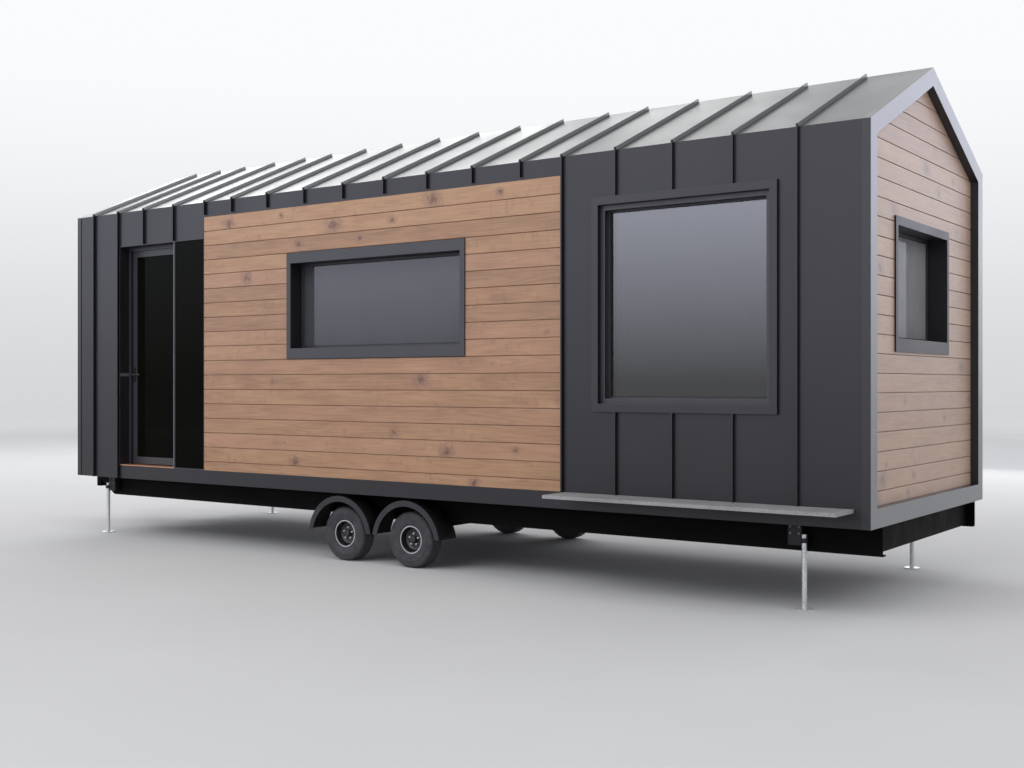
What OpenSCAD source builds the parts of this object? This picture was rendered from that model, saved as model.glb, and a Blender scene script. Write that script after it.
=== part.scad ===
// Tiny house on wheels: a towable cabin with a standing seam metal shell, timber
// cladding, a portal frame at each gable, a glazed door and a tandem axle chassis.
// Millimetres, +Z up. The entrance side faces -Y and the drawbar points to -X.
// Places along the side walls are measured from the end away from the drawbar.
// Heights of windows and doors are measured from the floor.

/* [Body] */
// Length of the body over the two portal frames
house_l = 8030; // [7900:10:8600]
// Width of the body over the side walls
house_w = 2550; // [2350:10:2600]
// Height of the underside of the side skirts above the ground
skirt_z = 565; // [555:1:620]
// Height of the side skirts, and thickness of the floor behind them
skirt_h = 124; // [100:1:160]
// Height of the eaves above the head of the entrance
over_door_h = 323; // [290:1:420]
// Rise of the roof from the eaves to the ridge
roof_rise = 575; // [450:5:700]
// Thickness of the metal and timber cladding with its battens
clad_t = 25; // [20:1:32]
// Thickness of the framed and insulated wall behind the cladding
core_t = 150; // [140:1:180]
// Thickness of the framed and insulated roof, square to the slope
roof_core_t = 120; // [90:1:160]

/* [Portal frames] */
// Depth of a portal frame in front of the gable cladding
portal_d = 60; // [40:1:90]
// Width of the posts and rafters of a portal frame
portal_w = 120; // [90:1:150]

/* [Timber cladding] */
// Near edge of the timber on a side wall
wood_from = 2291; // [2280:1:2340]
// Height of the metal band between the timber and the eaves
band_h = 136; // [110:1:200]

/* [Standing seams] */
// Height of a standing seam above the sheet
seam_h = 25; // [15:1:35]
// Thickness of a folded seam
seam_t = 12; // [6:1:20]
// Place of the first seam at the window end
seam_first = 474; // [450:1:500]
// Spacing of the five seams round the large window
seam_pitch_end = 449; // [440:1:454]
// Place of the first seam above the timber
seam_mid_first = 2639; // [2600:1:2680]
// Spacing of the eight seams above the timber
seam_pitch_mid = 447.5; // [430:0.5:455]
// Distance of the first seam at the entrance from the edge of the sidelight
seam_door_lap = 18; // [8:1:40]
// Spacing of the three seams above the entrance
seam_pitch_door = 431.5; // [420:0.5:440]
// Spacing of the two seams between the door and the drawbar end
seam_pitch_far = 374; // [300:1:400]
// Gap between the timber and the seams above it
seam_wood_gap = 20; // [5:1:40]
// Distance of the seam ends from the ridge on the entrance side
seam_ridge_gap = 12; // [5:1:40]
// Distance of the seam ends from the ridge on the rear side
seam_ridge_gap_rear = 45; // [20:1:80]

/* [Large window] */
// Near edge of the large window
big_from = 657; // [640:1:700]
// Width of the large window
big_w = 1306; // [1200:1:1340]
// Height of the large window's sill above the floor
big_sill = 638; // [600:1:700]
// Width of the large window's frame as seen from the front
big_face = 40; // [25:1:50]
// Distance of the large window's frame behind the front of the metal
big_recess = 16; // [5:1:30]
// Distance of the large pane behind the front of the metal
big_pane_depth = 75; // [60:1:110]
// Visible width of the sash round the large pane
big_sash_w = 10; // [8:1:20]
// Width of the flat surround above and below the large window
surround_v = 55; // [40:1:70]
// Width of the flat surround beside the large window
surround_side = 50; // [30:1:60]
// Thickness of the surround, which stands on the metal as high as a seam
surround_t = 24; // [15:1:30]
// Thickness of the flashing that turns from the surround into the hole
flashing_t = 4; // [2:0.5:6]

/* [Strip windows] */
// Near edge of the strip windows in the side walls
strip_from = 3161; // [3000:1:3300]
// Width of the strip windows in the side walls
strip_w = 1923; // [1600:1:2000]
// Height of the strip windows in the side walls and gables
strip_h = 905; // [700:1:1000]
// Height of the strip windows' sills above the floor
strip_sill = 994; // [800:1:1100]
// Width of a strip window's frame at head and sill
strip_face_v = 90; // [50:1:110]
// Width of a strip window's frame at its sides
strip_face_side = 46; // [30:1:70]
// Distance of a side wall strip window's frame in front of the timber
strip_proud = 12; // [4:1:25]
// Distance of the gable windows from the entrance side of the gable
gable_win_from = 624; // [440:1:760]
// Width of the gable windows
gable_win_w = 1197; // [900:1:1300]
// Width of a gable window's frame at its head
gable_win_head = 60; // [40:1:90]
// Distance of a gable window's frame in front of the timber
gable_proud = 12; // [4:1:25]
// Distance of the gable panes behind the front of the timber
gable_pane_depth = 140; // [125:1:145]

/* [Glazing] */
// Distance of the strip windows' panes behind the front of the side cladding
pane_depth = 133; // [125:1:140]
// Thickness of a sealed glass pane
pane_t = 24; // [18:1:30]
// Visible width of the sash round a window pane
sash_w = 18; // [10:1:30]
// Depth of a sash from front to back
sash_d = 40; // [36:1:50]
// Gap between a piece and the opening or frame that it is set in
fit_gap = 0.3; // [0.2:0.1:0.8]

/* [Entrance] */
// Distance of the doorway from the drawbar end of the body
door_end = 661; // [600:1:700]
// Width of the sidelight beside the doorway
side_w = 413; // [300:1:500]
// Width of the doorway beside the sidelight
door_w = 808; // [760:1:900]
// Height of the entrance opening above the floor
door_h = 2105; // [2050:1:2150]
// Thickness of the frame lining round the entrance
lining_t = 8; // [5:1:15]
// Width of the post between the door and the sidelight
post_w = 20; // [15:1:40]
// Width of the rebated jambs and head round the door leaf
jamb_w = 30; // [25:1:45]
// Distance of the door leaf behind the front of the cladding
leaf_depth = 125; // [110:1:135]
// Thickness of the door leaf
leaf_t = 50; // [40:1:54]
// Running gap round the door leaf
leaf_gap = 6; // [5:0.5:8]
// Width of the door leaf's stiles and rails
stile_w = 66; // [50:1:90]
// Overlap of the door stop on the door leaf
stop_lap = 6; // [3:0.5:8]
// Thickness of the door stop
stop_t = 14; // [8:1:20]
// Thickness of the threshold strip
sill_t = 8; // [4:1:12]
// Distance of the sidelight pane behind the front of the cladding
side_pane_depth = 6; // [2:1:40]

/* [Door hardware] */
// Distance of the outer hinges from the ends of the door leaf
hinge_in = 180; // [120:5:250]
// Radius of the hinge knuckles
knuckle_r = 8; // [6:0.5:9]
// Height of each half of a hinge
knuckle_h = 50; // [30:1:70]
// Radius of the hinge pins
pin_r = 4; // [3:0.5:5]
// Radial clearance of a pin or spindle in its hole
pin_clear = 0.1; // [0.05:0.05:0.3]
// Thickness of the hinge flaps
flap_t = 3; // [2:0.5:5]
// Width of the hinge flaps
flap_w = 30; // [20:1:36]
// Height of the lever handle above the floor
lever_z = 871; // [800:1:1050]
// Length of the lever
lever_l = 135; // [100:1:160]
// Radius of the lever and of its neck
lever_r = 9; // [7:0.5:12]
// Distance of the lever's axis from its backplate
lever_out = 42; // [30:1:50]
// Width of the lever's backplate
plate_w = 32; // [24:1:40]
// Height of the lever's backplate
plate_h = 150; // [100:1:220]
// Thickness of the lever's backplate
plate_t = 6; // [3:0.5:8]

/* [Ledge] */
// Distance of the ledge in front of the body
ledge_out = 300; // [200:5:400]
// Thickness of the ledge
ledge_t = 24; // [15:1:35]
// Near end of the ledge
ledge_from = 107; // [90:1:200]
// Far end of the ledge
ledge_to = 2250; // [2000:1:2260]

/* [Chassis] */
// Height of the chassis rails
rail_h = 190; // [160:1:200]
// Width of the chassis rails' flanges
rail_flange = 60; // [50:1:90]
// Thickness of the chassis rails' flanges
rail_flange_t = 9; // [6:0.5:14]
// Thickness of the chassis rails' webs
rail_web_t = 7; // [5:0.5:12]
// Distance of the chassis rails in from the side walls
rail_in = 220; // [215:1:260]
// Length of the cut at the rails' drawbar end
rail_cut_l = 290; // [150:5:400]
// Height of the cut at the rails' drawbar end
rail_cut_h = 180; // [100:5:185]
// Number of cross members
cross_count = 9; // [6:1:12]
// Width of a cross member
cross_w = 60; // [40:1:90]
// Height of a cross member above the cut at the rails' drawbar end
cross_short_h = 120; // [100:5:130]

/* [Drawbar] */
// Length of the drawbar in front of the body
drawbar_l = 1200; // [900:10:1500]
// Distance between the drawbar arms' centres at the chassis
arm_spread = 1300; // [900:10:1500]
// Width of a drawbar arm
arm_w = 60; // [50:1:80]
// Height of a drawbar arm
arm_h = 100; // [80:1:120]
// Height of the underside of the drawbar above the ground
arm_z = 400; // [390:1:430]
// Length of the coupling from its neck plate to its nose
coupler_l = 210; // [180:5:260]
// Thickness of the coupling's neck plate
neck_t = 12; // [8:1:16]
// Height of the coupling's tapering body
coupler_h = 36; // [30:1:44]
// Width of the coupling's body where it meets the socket
coupler_nose = 60; // [50:1:70]
// Height of the socket's open end above the underside of the drawbar
socket_up = 12; // [5:1:20]
// Radius of the coupling's ball socket
socket_r = 25.2; // [25:0.1:25.6]
// Depth of the coupling's ball socket
socket_h = 34; // [28:1:40]
// Thickness of the coupling's wall round the socket
socket_wall = 12; // [8:1:18]
// Thickness of the coupling above the socket
socket_cap = 14; // [8:1:20]

/* [Wheels] */
// Distance of the leading axle from the end away from the drawbar
axle_from = 4482; // [4300:1:4600]
// Distance between the two axles
axle_gap = 715; // [715:1:800]
// Outer radius of the tyres
tyre_r = 225; // [215:1:240]
// Width of the tyres
tyre_w = 145; // [125:1:148]
// Distance of a tyre's beads in from its side walls
bead_in = 18; // [14:1:24]
// Radius of a tyre's shoulders
shoulder_r = 26; // [18:1:34]
// Radius of the rims where the tyres sit
rim_r = 102; // [98:1:115]
// Height of a rim's lips above the tyre seats
rim_lip = 10; // [6:1:14]
// Thickness of a rim's sheet
rim_t = 4; // [3:0.5:6]
// Distance of the wheel discs behind the outer beads
disc_in = 44; // [30:1:50]
// Thickness of the wheel discs
disc_t = 6; // [4:0.5:8]
// Height of the pressed ring in the wheel discs
disc_crown = 9; // [0:1:14]
// Radius of the flat middle of the wheel discs
flat_r = 64; // [56:1:75]
// Radius of the hubs
hub_r = 46; // [38:1:52]
// Radius of the hubs' dust caps
cap_r = 28; // [24:1:32]
// Length of the dust caps in front of the wheel discs
cap_l = 32; // [26:1:36]
// Thickness of a dust cap's end
cap_t = 5; // [3:1:8]
// Distance of the tyres in from the side walls
tyre_in = 60; // [60:1:75]
// Radius of the wheel spindles
spindle_r = 20; // [16:1:25]
// Radial clearance of a wheel on its spindle
spindle_clear = 0.05; // [0.02:0.01:0.1]
// Gap between the end of a spindle and its dust cap
spindle_gap = 8; // [6:1:12]
// Side of the square axle beams
axle_beam = 60; // [50:1:70]
// Distance of the axle beams behind the wheel centres
trail = 130; // [110:1:160]
// Thickness of the trailing arms
swing_t = 16; // [12:1:20]
// Gap between a tyre and the trailing arm beside it
swing_gap = 10; // [8:1:12]

/* [Mudguards] */
// Outer radius of a mudguard
guard_r = 353; // [330:1:355]
// Width of a mudguard's front lip
guard_lip = 48; // [30:1:60]
// Thickness of a mudguard's sheet
guard_t = 5; // [3:0.5:8]
// Gap between the mudguards and the underside of the skirt
guard_drop = 22; // [10:1:40]
// Height of the lower ends of the mudguards above the ground
guard_end_z = 250; // [235:1:300]

/* [Corner legs] */
// Radius of a corner leg
leg_r = 17; // [14:0.5:25]
// Height of the top of a corner leg above the ground
leg_top = 490; // [480:1:540]
// Distance of the legs from the drawbar end of the body
leg_near_drawbar = 259; // [240:1:400]
// Distance of the legs from the other end of the body
leg_far_end = 500; // [300:1:700]
// Distance of the legs in from the side walls
leg_in = 170; // [160:1:180]
// Radius of a leg's foot plate
foot_r = 60; // [45:1:80]
// Thickness of a leg's foot plate
foot_t = 8; // [5:1:12]
// Width of a leg bracket
bracket_w = 95; // [70:1:120]
// Height of a leg bracket
bracket_h = 150; // [100:1:180]
// Thickness of a leg bracket's plates
bracket_t = 8; // [5:1:12]
// Height of the bracket's eye round the leg
eye_h = 30; // [20:1:50]
// Distance of the eye above the foot of the bracket
eye_up = 20; // [10:1:40]

/* [Hidden] */
$fn = 48;

// Colours as the photograph shows them
metal_c = [0.22, 0.23, 0.25];
wood_c = [0.62, 0.45, 0.34];
frame_c = [0.16, 0.16, 0.18];
steel_c = [0.06, 0.06, 0.07];
galv_c = [0.72, 0.74, 0.74];
core_c = [0.80, 0.78, 0.74];
glass_c = [0.20, 0.22, 0.25];
tyre_c = [0.09, 0.09, 0.10];

// The origin is under the middle of the whole, drawbar, ledge and seams included
shift_x = (drawbar_l - house_l) / 2;
shift_y = (ledge_out - house_w - seam_h) / 2;

// Overrun of a cutter past the faces that it opens, and of a piece into the one it is fused to
over = 1;
// Overrun of the cutters for windows and cladding zones past the walls
through = 50;
// Gap between the two halves of a hinge
knuckle_gap = 1;

// Levels and layers
floor_z = skirt_z + skirt_h;
eave_z = floor_z + door_h + over_door_h;
wood_z = eave_z - band_h;
wall_t = clad_t + core_t;
slope = atan(2 * roof_rise / house_w);
mid_y = house_w / 2;
wall_x = portal_d + clad_t + core_t;
rail_z = skirt_z - rail_h;
guard_z = skirt_z - guard_drop - guard_r;

// Height of the roof's outer face above a point across the body, less a layer
function roof_z(y, layer = 0) = eave_z + min(y, house_w - y) * tan(slope) - layer / cos(slope);
core_top = roof_z(wall_t, clad_t + roof_core_t);

// Place along the body, from the drawbar end, of a distance from the other end
function from_end(s) = house_l - s;

// Edges of the openings along the body, from the end away from the drawbar
door_to = house_l - door_end;
door_from = door_to - door_w;
wood_to = door_from - side_w;
big_to = big_from + big_w;
strip_to = strip_from + strip_w;

// Height of the large window, whose surround ends level with the head of the entrance
big_h = door_h - surround_v - big_sill;

// Seam places, from the end away from the drawbar
seams_end = [for (i = [0:4]) seam_first + i * seam_pitch_end];
seams_mid = [for (s = [seam_mid_first:seam_pitch_mid:wood_to - seam_pitch_mid / 2]) s];
seams_door = [for (i = [0:2]) wood_to - seam_door_lap + i * seam_pitch_door];
seams_far = [for (i = [0:1]) door_to + i * seam_pitch_far];
all_seams = concat(seams_end, seams_mid, seams_door, seams_far);

// Door leaf edges, from the drawbar end, and heights
leaf_x0 = from_end(door_to) + jamb_w + leaf_gap;
leaf_x1 = from_end(door_from) - post_w / 2 - jamb_w + lining_t - leaf_gap;
leaf_z0 = floor_z + sill_t + leaf_gap;
leaf_z1 = floor_z + door_h - jamb_w - leaf_gap;
leaf_back = leaf_depth + leaf_t;
pivot_x = leaf_x1 + leaf_gap / 2;
pivot_y = leaf_back + knuckle_r + knuckle_gap;
hinge_levels = [leaf_z0 + hinge_in, (leaf_z0 + leaf_z1) / 2, leaf_z1 - hinge_in - 2 * knuckle_h];
handle_x = leaf_x0 + stile_w / 2;

// Wheel places
lead_x = from_end(axle_from);
trail_x = lead_x + axle_gap;
wheel_y = tyre_in + tyre_w / 2;
swing_y = tyre_in + tyre_w + swing_gap;

// Wheel section, measured outwards from the wheel's middle plane
bead_w = tyre_w / 2 - bead_in;
disc_y = bead_w - disc_in;
cap_y = disc_y + cap_l;
bore_end = cap_y - cap_t;
spindle_end = bore_end - spindle_gap;

// Moves a drawing from the body's own corner to the part's origin
module placed() translate([shift_x, shift_y, 0]) children();

// A copy on the opposite side wall
module other_side() translate([0, house_w, 0]) mirror([0, 1, 0]) children();

// A copy at both side walls
module both_sides() {
    children();
    other_side() children();
}

// Work drawn on a side wall, turned onto the gable away from the drawbar
module on_right_gable() translate([house_l, 0, 0]) rotate([0, 0, 90]) children();

// A copy on the opposite gable
module other_gable() translate([house_l, 0, 0]) mirror([1, 0, 0]) children();

// A copy on both gables
module both_gables() {
    children();
    other_gable() children();
}

// A box from one corner to the opposite one
module block(x0, x1, y0, y1, z0, z1) translate([x0, y0, z0]) cube([x1 - x0, y1 - y0, z1 - z0]);

// A drawing in Y and Z, pushed along X
module along_x(x0, x1) translate([x0, 0, 0]) rotate([90, 0, 90]) linear_extrude(x1 - x0) children();

// A rectangular ring in the wall, with its members' widths at left, right, head and sill
module wall_ring(x0, x1, z0, z1, y0, y1, left, right, head, sill) difference() {
    block(x0, x1, y0, y1, z0, z1);
    block(x0 + left, x1 - right, y0 - over, y1 + over, z0 + sill, z1 - head);
}

// The body's outline in Y and Z inside the cladding, from a height upwards
module body_outline(inset, layer, z0) polygon([
    [inset, z0], [inset, roof_z(inset, layer)], [mid_y, roof_z(mid_y, layer)],
    [house_w - inset, roof_z(inset, layer)], [house_w - inset, z0]]);

// Structure

module floor_deck() color(core_c) placed()
    block(portal_d, house_l - portal_d, clad_t, house_w - clad_t, skirt_z, floor_z);

module side_skirts() color(frame_c) placed() {
    block(from_end(door_to), house_l - portal_d, 0, clad_t, skirt_z, floor_z);
    other_side() block(portal_d, house_l - portal_d, 0, clad_t, skirt_z, floor_z);
}

module front_wall_left() color(core_c) placed()
    block(wall_x, from_end(door_to), clad_t, wall_t, floor_z, core_top);

module front_wall_over_door() color(core_c) placed()
    block(from_end(door_to), from_end(wood_to), clad_t, wall_t, floor_z + door_h, core_top);

module front_wall_middle() color(core_c) placed() difference() {
    block(from_end(wood_to), from_end(wood_from), clad_t, wall_t, floor_z, core_top);
    strip_hole();
}

module front_wall_right() color(core_c) placed() difference() {
    block(from_end(wood_from), house_l - wall_x, clad_t, wall_t, floor_z, core_top);
    big_hole();
}

module rear_wall() color(core_c) placed() other_side() difference() {
    block(wall_x, house_l - wall_x, clad_t, wall_t, floor_z, core_top);
    strip_hole();
}

// The framed part of a gable, drawn on the gable away from the drawbar
module gable_core() difference() {
    along_x(house_l - wall_x, house_l - portal_d - clad_t) polygon([
        [clad_t, floor_z], [clad_t, core_top], [wall_t, core_top],
        [mid_y, roof_z(mid_y, clad_t + roof_core_t)],
        [house_w - wall_t, core_top], [house_w - clad_t, core_top], [house_w - clad_t, floor_z]]);
    gable_hole();
}

module right_gable_wall() color(core_c) placed() gable_core();

module left_gable_wall() color(core_c) placed() other_gable() gable_core();

// One slope of the framed roof, seated on the side wall
module roof_core() along_x(portal_d + clad_t, house_l - portal_d - clad_t) polygon([
    [clad_t, core_top], [wall_t, core_top], [mid_y, roof_z(mid_y, clad_t + roof_core_t)],
    [mid_y, roof_z(mid_y, clad_t)], [clad_t, roof_z(clad_t, clad_t)]]);

module roof_front() color(core_c) placed() roof_core();

module roof_rear() color(core_c) placed() other_side() roof_core();

// Holes for windows and entrance, cut through the cladding and the wall

module strip_hole() block(from_end(strip_to), from_end(strip_from), -through, wall_t + through,
    floor_z + strip_sill, floor_z + strip_sill + strip_h);

module big_hole() block(from_end(big_to), from_end(big_from), -through, wall_t + through,
    floor_z + big_sill, floor_z + big_sill + big_h);

module gable_hole() on_right_gable() block(gable_win_from, gable_win_from + gable_win_w, -through,
    wall_x + through, floor_z + strip_sill, floor_z + strip_sill + strip_h);

module wood_zone() block(from_end(wood_to), from_end(wood_from), -through, clad_t + through,
    floor_z - through, wood_z);

module entrance_zone() block(from_end(door_to), from_end(wood_to), -through, clad_t + through,
    floor_z - through, floor_z + door_h);

// Metal shell

// Flat metal of a side wall, mitred to the roof sheet along the eaves
module wall_sheet() along_x(portal_d, house_l - portal_d) polygon([
    [0, floor_z], [0, eave_z], [clad_t, roof_z(clad_t, clad_t)], [clad_t, floor_z]]);

// One upright seam from a height to the eaves, where it meets the seam on the roof
module wall_seam(s, z0) along_x(from_end(s) - seam_t / 2, from_end(s) + seam_t / 2) polygon([
    [0, z0], [0, eave_z], [-seam_h, eave_z + seam_h * (1 - sin(slope)) / cos(slope)], [-seam_h, z0]]);

// A short piece of seam between two heights
module seam_piece(s, z0, z1)
    block(from_end(s) - seam_t / 2, from_end(s) + seam_t / 2, -seam_h, 0, z0, z1);

module front_metal() color(metal_c) placed() {
    difference() {
        wall_sheet();
        wood_zone();
        entrance_zone();
        big_hole();
    }
    block(portal_d, from_end(door_to), 0, clad_t, skirt_z, floor_z);
    for (s = seams_end) {
        over_window = s > big_from - surround_side && s < big_to + surround_side;
        wall_seam(s, over_window ? floor_z + big_sill + big_h + surround_v : floor_z);
        if (over_window) seam_piece(s, floor_z, floor_z + big_sill - surround_v);
    }
    for (s = concat(seams_mid, [seams_door[0]])) wall_seam(s, wood_z + seam_wood_gap);
    for (i = [1:2]) wall_seam(seams_door[i], floor_z + door_h);
    for (s = seams_far) wall_seam(s + seam_t / 2, skirt_z);
}

module rear_metal() color(metal_c) placed() other_side() {
    difference() {
        wall_sheet();
        wood_zone();
    }
    for (s = concat(seams_end, [seams_door[1], seams_door[2]], seams_far)) wall_seam(s, floor_z);
    for (s = concat(seams_mid, [seams_door[0]])) wall_seam(s, wood_z + seam_wood_gap);
}

// One slope of roof sheet, with its seams running from the eaves to a distance from the ridge
module roof_sheet(ridge_gap) {
    along_x(portal_d, house_l - portal_d) polygon([
        [0, eave_z], [mid_y, roof_z(mid_y)], [mid_y, roof_z(mid_y, clad_t)],
        [clad_t, roof_z(clad_t, clad_t)]]);
    top_y = mid_y - ridge_gap;
    for (s = all_seams)
        along_x(from_end(s) - seam_t / 2, from_end(s) + seam_t / 2) polygon([
            [0, eave_z], [-seam_h, eave_z + seam_h * (1 - sin(slope)) / cos(slope)],
            [top_y - seam_h * sin(slope), roof_z(top_y) + seam_h * cos(slope)],
            [top_y, roof_z(top_y, over)], [over, roof_z(over, over)]]);
}

module roof_metal_front() color(metal_c) placed() roof_sheet(seam_ridge_gap);

module roof_metal_rear() color(metal_c) placed() other_side() roof_sheet(seam_ridge_gap_rear);

// Timber cladding

// Timber on a side wall, standing on the skirt
module side_timber() difference() {
    block(from_end(wood_to), from_end(wood_from), 0, clad_t, floor_z, wood_z);
    strip_hole();
}

module front_wood() color(wood_c) placed() side_timber();

module rear_wood() color(wood_c) placed() other_side() side_timber();

// Timber of one gable, behind its portal frame
module gable_timber() difference() {
    along_x(house_l - portal_d - clad_t, house_l - portal_d) body_outline(clad_t, clad_t, floor_z);
    gable_hole();
}

module gable_wood() color(wood_c) placed() both_gables() gable_timber();

module portal_frames() color([0.55, 0.57, 0.60]) placed() both_gables() portal();

// The frame of sheet metal round one gable
module portal() along_x(house_l - portal_d, house_l) difference() {
    body_outline(0, 0, skirt_z);
    body_outline(portal_w, portal_w, floor_z);
}

// Windows

// A box frame with a slim sash round its pane, drawn on a side wall from its front face to its back
module box_window(x0, x1, z0, z1, front, back, pane_y, side, head, sill, sash) {
    wall_ring(x0, x1, z0, z1, front, back, side, side, head, sill);
    wall_ring(x0 + side - over, x1 - side + over, z0 + sill - over, z1 - head + over,
        pane_y + pane_t / 2 - sash_d / 2, pane_y + pane_t / 2 + sash_d / 2,
        sash + over, sash + over, sash + over, sash + over);
}

// The pane of a box window
module box_pane(x0, x1, z0, z1, pane_y, side, head, sill, sash) {
    edge = sash + fit_gap;
    block(x0 + side + edge, x1 - side - edge, pane_y, pane_y + pane_t,
        z0 + sill + edge, z1 - head - edge);
}

module strip_frame() box_window(
    from_end(strip_to) + fit_gap, from_end(strip_from) - fit_gap,
    floor_z + strip_sill + fit_gap, floor_z + strip_sill + strip_h - fit_gap,
    -strip_proud, wall_t, pane_depth, strip_face_side, strip_face_v, strip_face_v, sash_w);

module strip_pane() box_pane(
    from_end(strip_to) + fit_gap, from_end(strip_from) - fit_gap,
    floor_z + strip_sill + fit_gap, floor_z + strip_sill + strip_h - fit_gap,
    pane_depth, strip_face_side, strip_face_v, strip_face_v, sash_w);

module strip_window_frames() color(frame_c) placed() both_sides() strip_frame();

// The large window's frame, set back behind a flashing that turns out into a flat surround
module big_window_frame() color(frame_c) placed() {
    x0 = from_end(big_to) + fit_gap;
    x1 = from_end(big_from) - fit_gap;
    z0 = floor_z + big_sill + fit_gap;
    z1 = floor_z + big_sill + big_h - fit_gap;
    side = surround_side + flashing_t;
    end = surround_v + flashing_t;
    box_window(x0, x1, z0, z1, big_recess, wall_t, big_pane_depth, big_face, big_face, big_face,
        big_sash_w);
    wall_ring(x0, x1, z0, z1, -surround_t, big_recess + over,
        flashing_t, flashing_t, flashing_t, flashing_t);
    wall_ring(x0 - surround_side, x1 + surround_side, z0 - surround_v, z1 + surround_v,
        -surround_t, 0, side, side, end, end);
}

module big_pane() box_pane(
    from_end(big_to) + fit_gap, from_end(big_from) - fit_gap,
    floor_z + big_sill + fit_gap, floor_z + big_sill + big_h - fit_gap,
    big_pane_depth, big_face, big_face, big_face, big_sash_w);

module gable_frame() on_right_gable() box_window(
    gable_win_from + fit_gap, gable_win_from + gable_win_w - fit_gap,
    floor_z + strip_sill + fit_gap, floor_z + strip_sill + strip_h - fit_gap,
    portal_d - gable_proud, wall_x, portal_d + gable_pane_depth,
    strip_face_side, gable_win_head, strip_face_v, sash_w);

module gable_pane() on_right_gable() box_pane(
    gable_win_from + fit_gap, gable_win_from + gable_win_w - fit_gap,
    floor_z + strip_sill + fit_gap, floor_z + strip_sill + strip_h - fit_gap,
    portal_d + gable_pane_depth, strip_face_side, gable_win_head, strip_face_v, sash_w);

module gable_window_frames() color(frame_c) placed() both_gables() gable_frame();

// Every fixed pane: strip windows, large window, gable windows and sidelight
module window_glass() color(glass_c) placed() {
    both_sides() strip_pane();
    big_pane();
    both_gables() gable_pane();
    block(from_end(door_from) + post_w / 2 + fit_gap, from_end(wood_to) - lining_t - fit_gap,
        side_pane_depth, side_pane_depth + pane_t,
        floor_z + lining_t + fit_gap, floor_z + door_h - lining_t - fit_gap);
}

// Entrance

// Lining, post, rebated jambs and stops of the entrance, with the fixed half of the hinges
module door_frame() color(frame_c) placed() {
    x0 = from_end(door_to);
    x1 = from_end(wood_to);
    post_x = from_end(door_from);
    top = floor_z + door_h;
    jamb_y = leaf_depth - leaf_gap - stop_t;
    stop_y = leaf_depth - leaf_gap;
    stop_w = leaf_gap + stop_lap;
    difference() {
        block(x0, x1, 0, wall_t, floor_z, top);
        block(x0 + lining_t, post_x - post_w / 2, -over, wall_t + over, floor_z - over, top - lining_t);
        block(post_x + post_w / 2, x1 - lining_t, -over, wall_t + over, floor_z + lining_t, top - lining_t);
    }
    difference() {
        block(x0 + over, post_x, jamb_y, leaf_back, floor_z + sill_t, top - over);
        block(leaf_x0 - leaf_gap, leaf_x1 + leaf_gap, stop_y, leaf_back + over,
            floor_z - over, leaf_z1 + leaf_gap);
        block(leaf_x0 - leaf_gap + stop_w, leaf_x1 + leaf_gap - stop_w, jamb_y - over, leaf_back,
            floor_z - over, leaf_z1 + leaf_gap - stop_w);
    }
    for (z = hinge_levels) {
        translate([pivot_x, pivot_y, z]) cylinder(r = knuckle_r, h = knuckle_h);
        translate([pivot_x, pivot_y, z]) cylinder(r = pin_r, h = 2 * knuckle_h);
        block(pivot_x, pivot_x + flap_w, leaf_back, leaf_back + flap_t, z, z + knuckle_h);
    }
}

module threshold() color([0.55, 0.33, 0.22]) placed()
    block(from_end(door_to) + lining_t, from_end(door_from) - post_w / 2, 0, leaf_back - leaf_t / 2,
        floor_z, floor_z + sill_t);

module door_leaf() color(frame_c) placed() {
    difference() {
        wall_ring(leaf_x0, leaf_x1, leaf_z0, leaf_z1, leaf_depth, leaf_back,
            stile_w, stile_w, stile_w, stile_w);
        translate([handle_x, leaf_depth - over, floor_z + lever_z]) rotate([-90, 0, 0])
            cylinder(r = lever_r / 2 + pin_clear, h = leaf_t + 2 * over);
    }
    for (z = hinge_levels) {
        difference() {
            translate([pivot_x, pivot_y, z + knuckle_h + knuckle_gap])
                cylinder(r = knuckle_r, h = knuckle_h - knuckle_gap);
            translate([pivot_x, pivot_y, z]) cylinder(r = pin_r + pin_clear, h = 3 * knuckle_h);
        }
        difference() {
            block(pivot_x - flap_w, pivot_x, leaf_back, leaf_back + flap_t,
                z + knuckle_h + knuckle_gap, z + 2 * knuckle_h);
            translate([pivot_x, pivot_y, z]) cylinder(r = pin_r + pin_clear, h = 3 * knuckle_h);
        }
    }
}

module door_glass() color(glass_c) placed() {
    edge = stile_w + fit_gap;
    mid = leaf_depth + leaf_t / 2;
    block(leaf_x0 + edge, leaf_x1 - edge, mid - pane_t / 2, mid + pane_t / 2,
        leaf_z0 + edge, leaf_z1 - edge);
}

// Backplate, neck and lever on one face of the door, drawn with its face at y = 0
module lever_side() {
    straight = plate_h / 2 - plate_w / 2;
    translate([-plate_w / 2, -plate_t, -straight]) cube([plate_w, plate_t, 2 * straight]);
    for (z = [-straight, straight])
        translate([0, 0, z]) rotate([90, 0, 0]) cylinder(r = plate_w / 2, h = plate_t);
    rotate([90, 0, 0]) cylinder(r = lever_r, h = plate_t + lever_out);
    translate([0, -plate_t - lever_out, 0]) {
        sphere(r = lever_r);
        rotate([0, 90, 0]) cylinder(r = lever_r, h = lever_l - lever_r);
        translate([lever_l - lever_r, 0, 0]) sphere(r = lever_r);
    }
}

module door_handle() color([0.12, 0.12, 0.13]) placed() translate([handle_x, 0, floor_z + lever_z]) {
    translate([0, leaf_depth, 0]) lever_side();
    translate([0, leaf_back, 0]) mirror([0, 1, 0]) lever_side();
    translate([0, leaf_depth - over, 0]) rotate([-90, 0, 0])
        cylinder(r = lever_r / 2, h = leaf_t + 2 * over);
}

// Ledge under the large window

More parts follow.
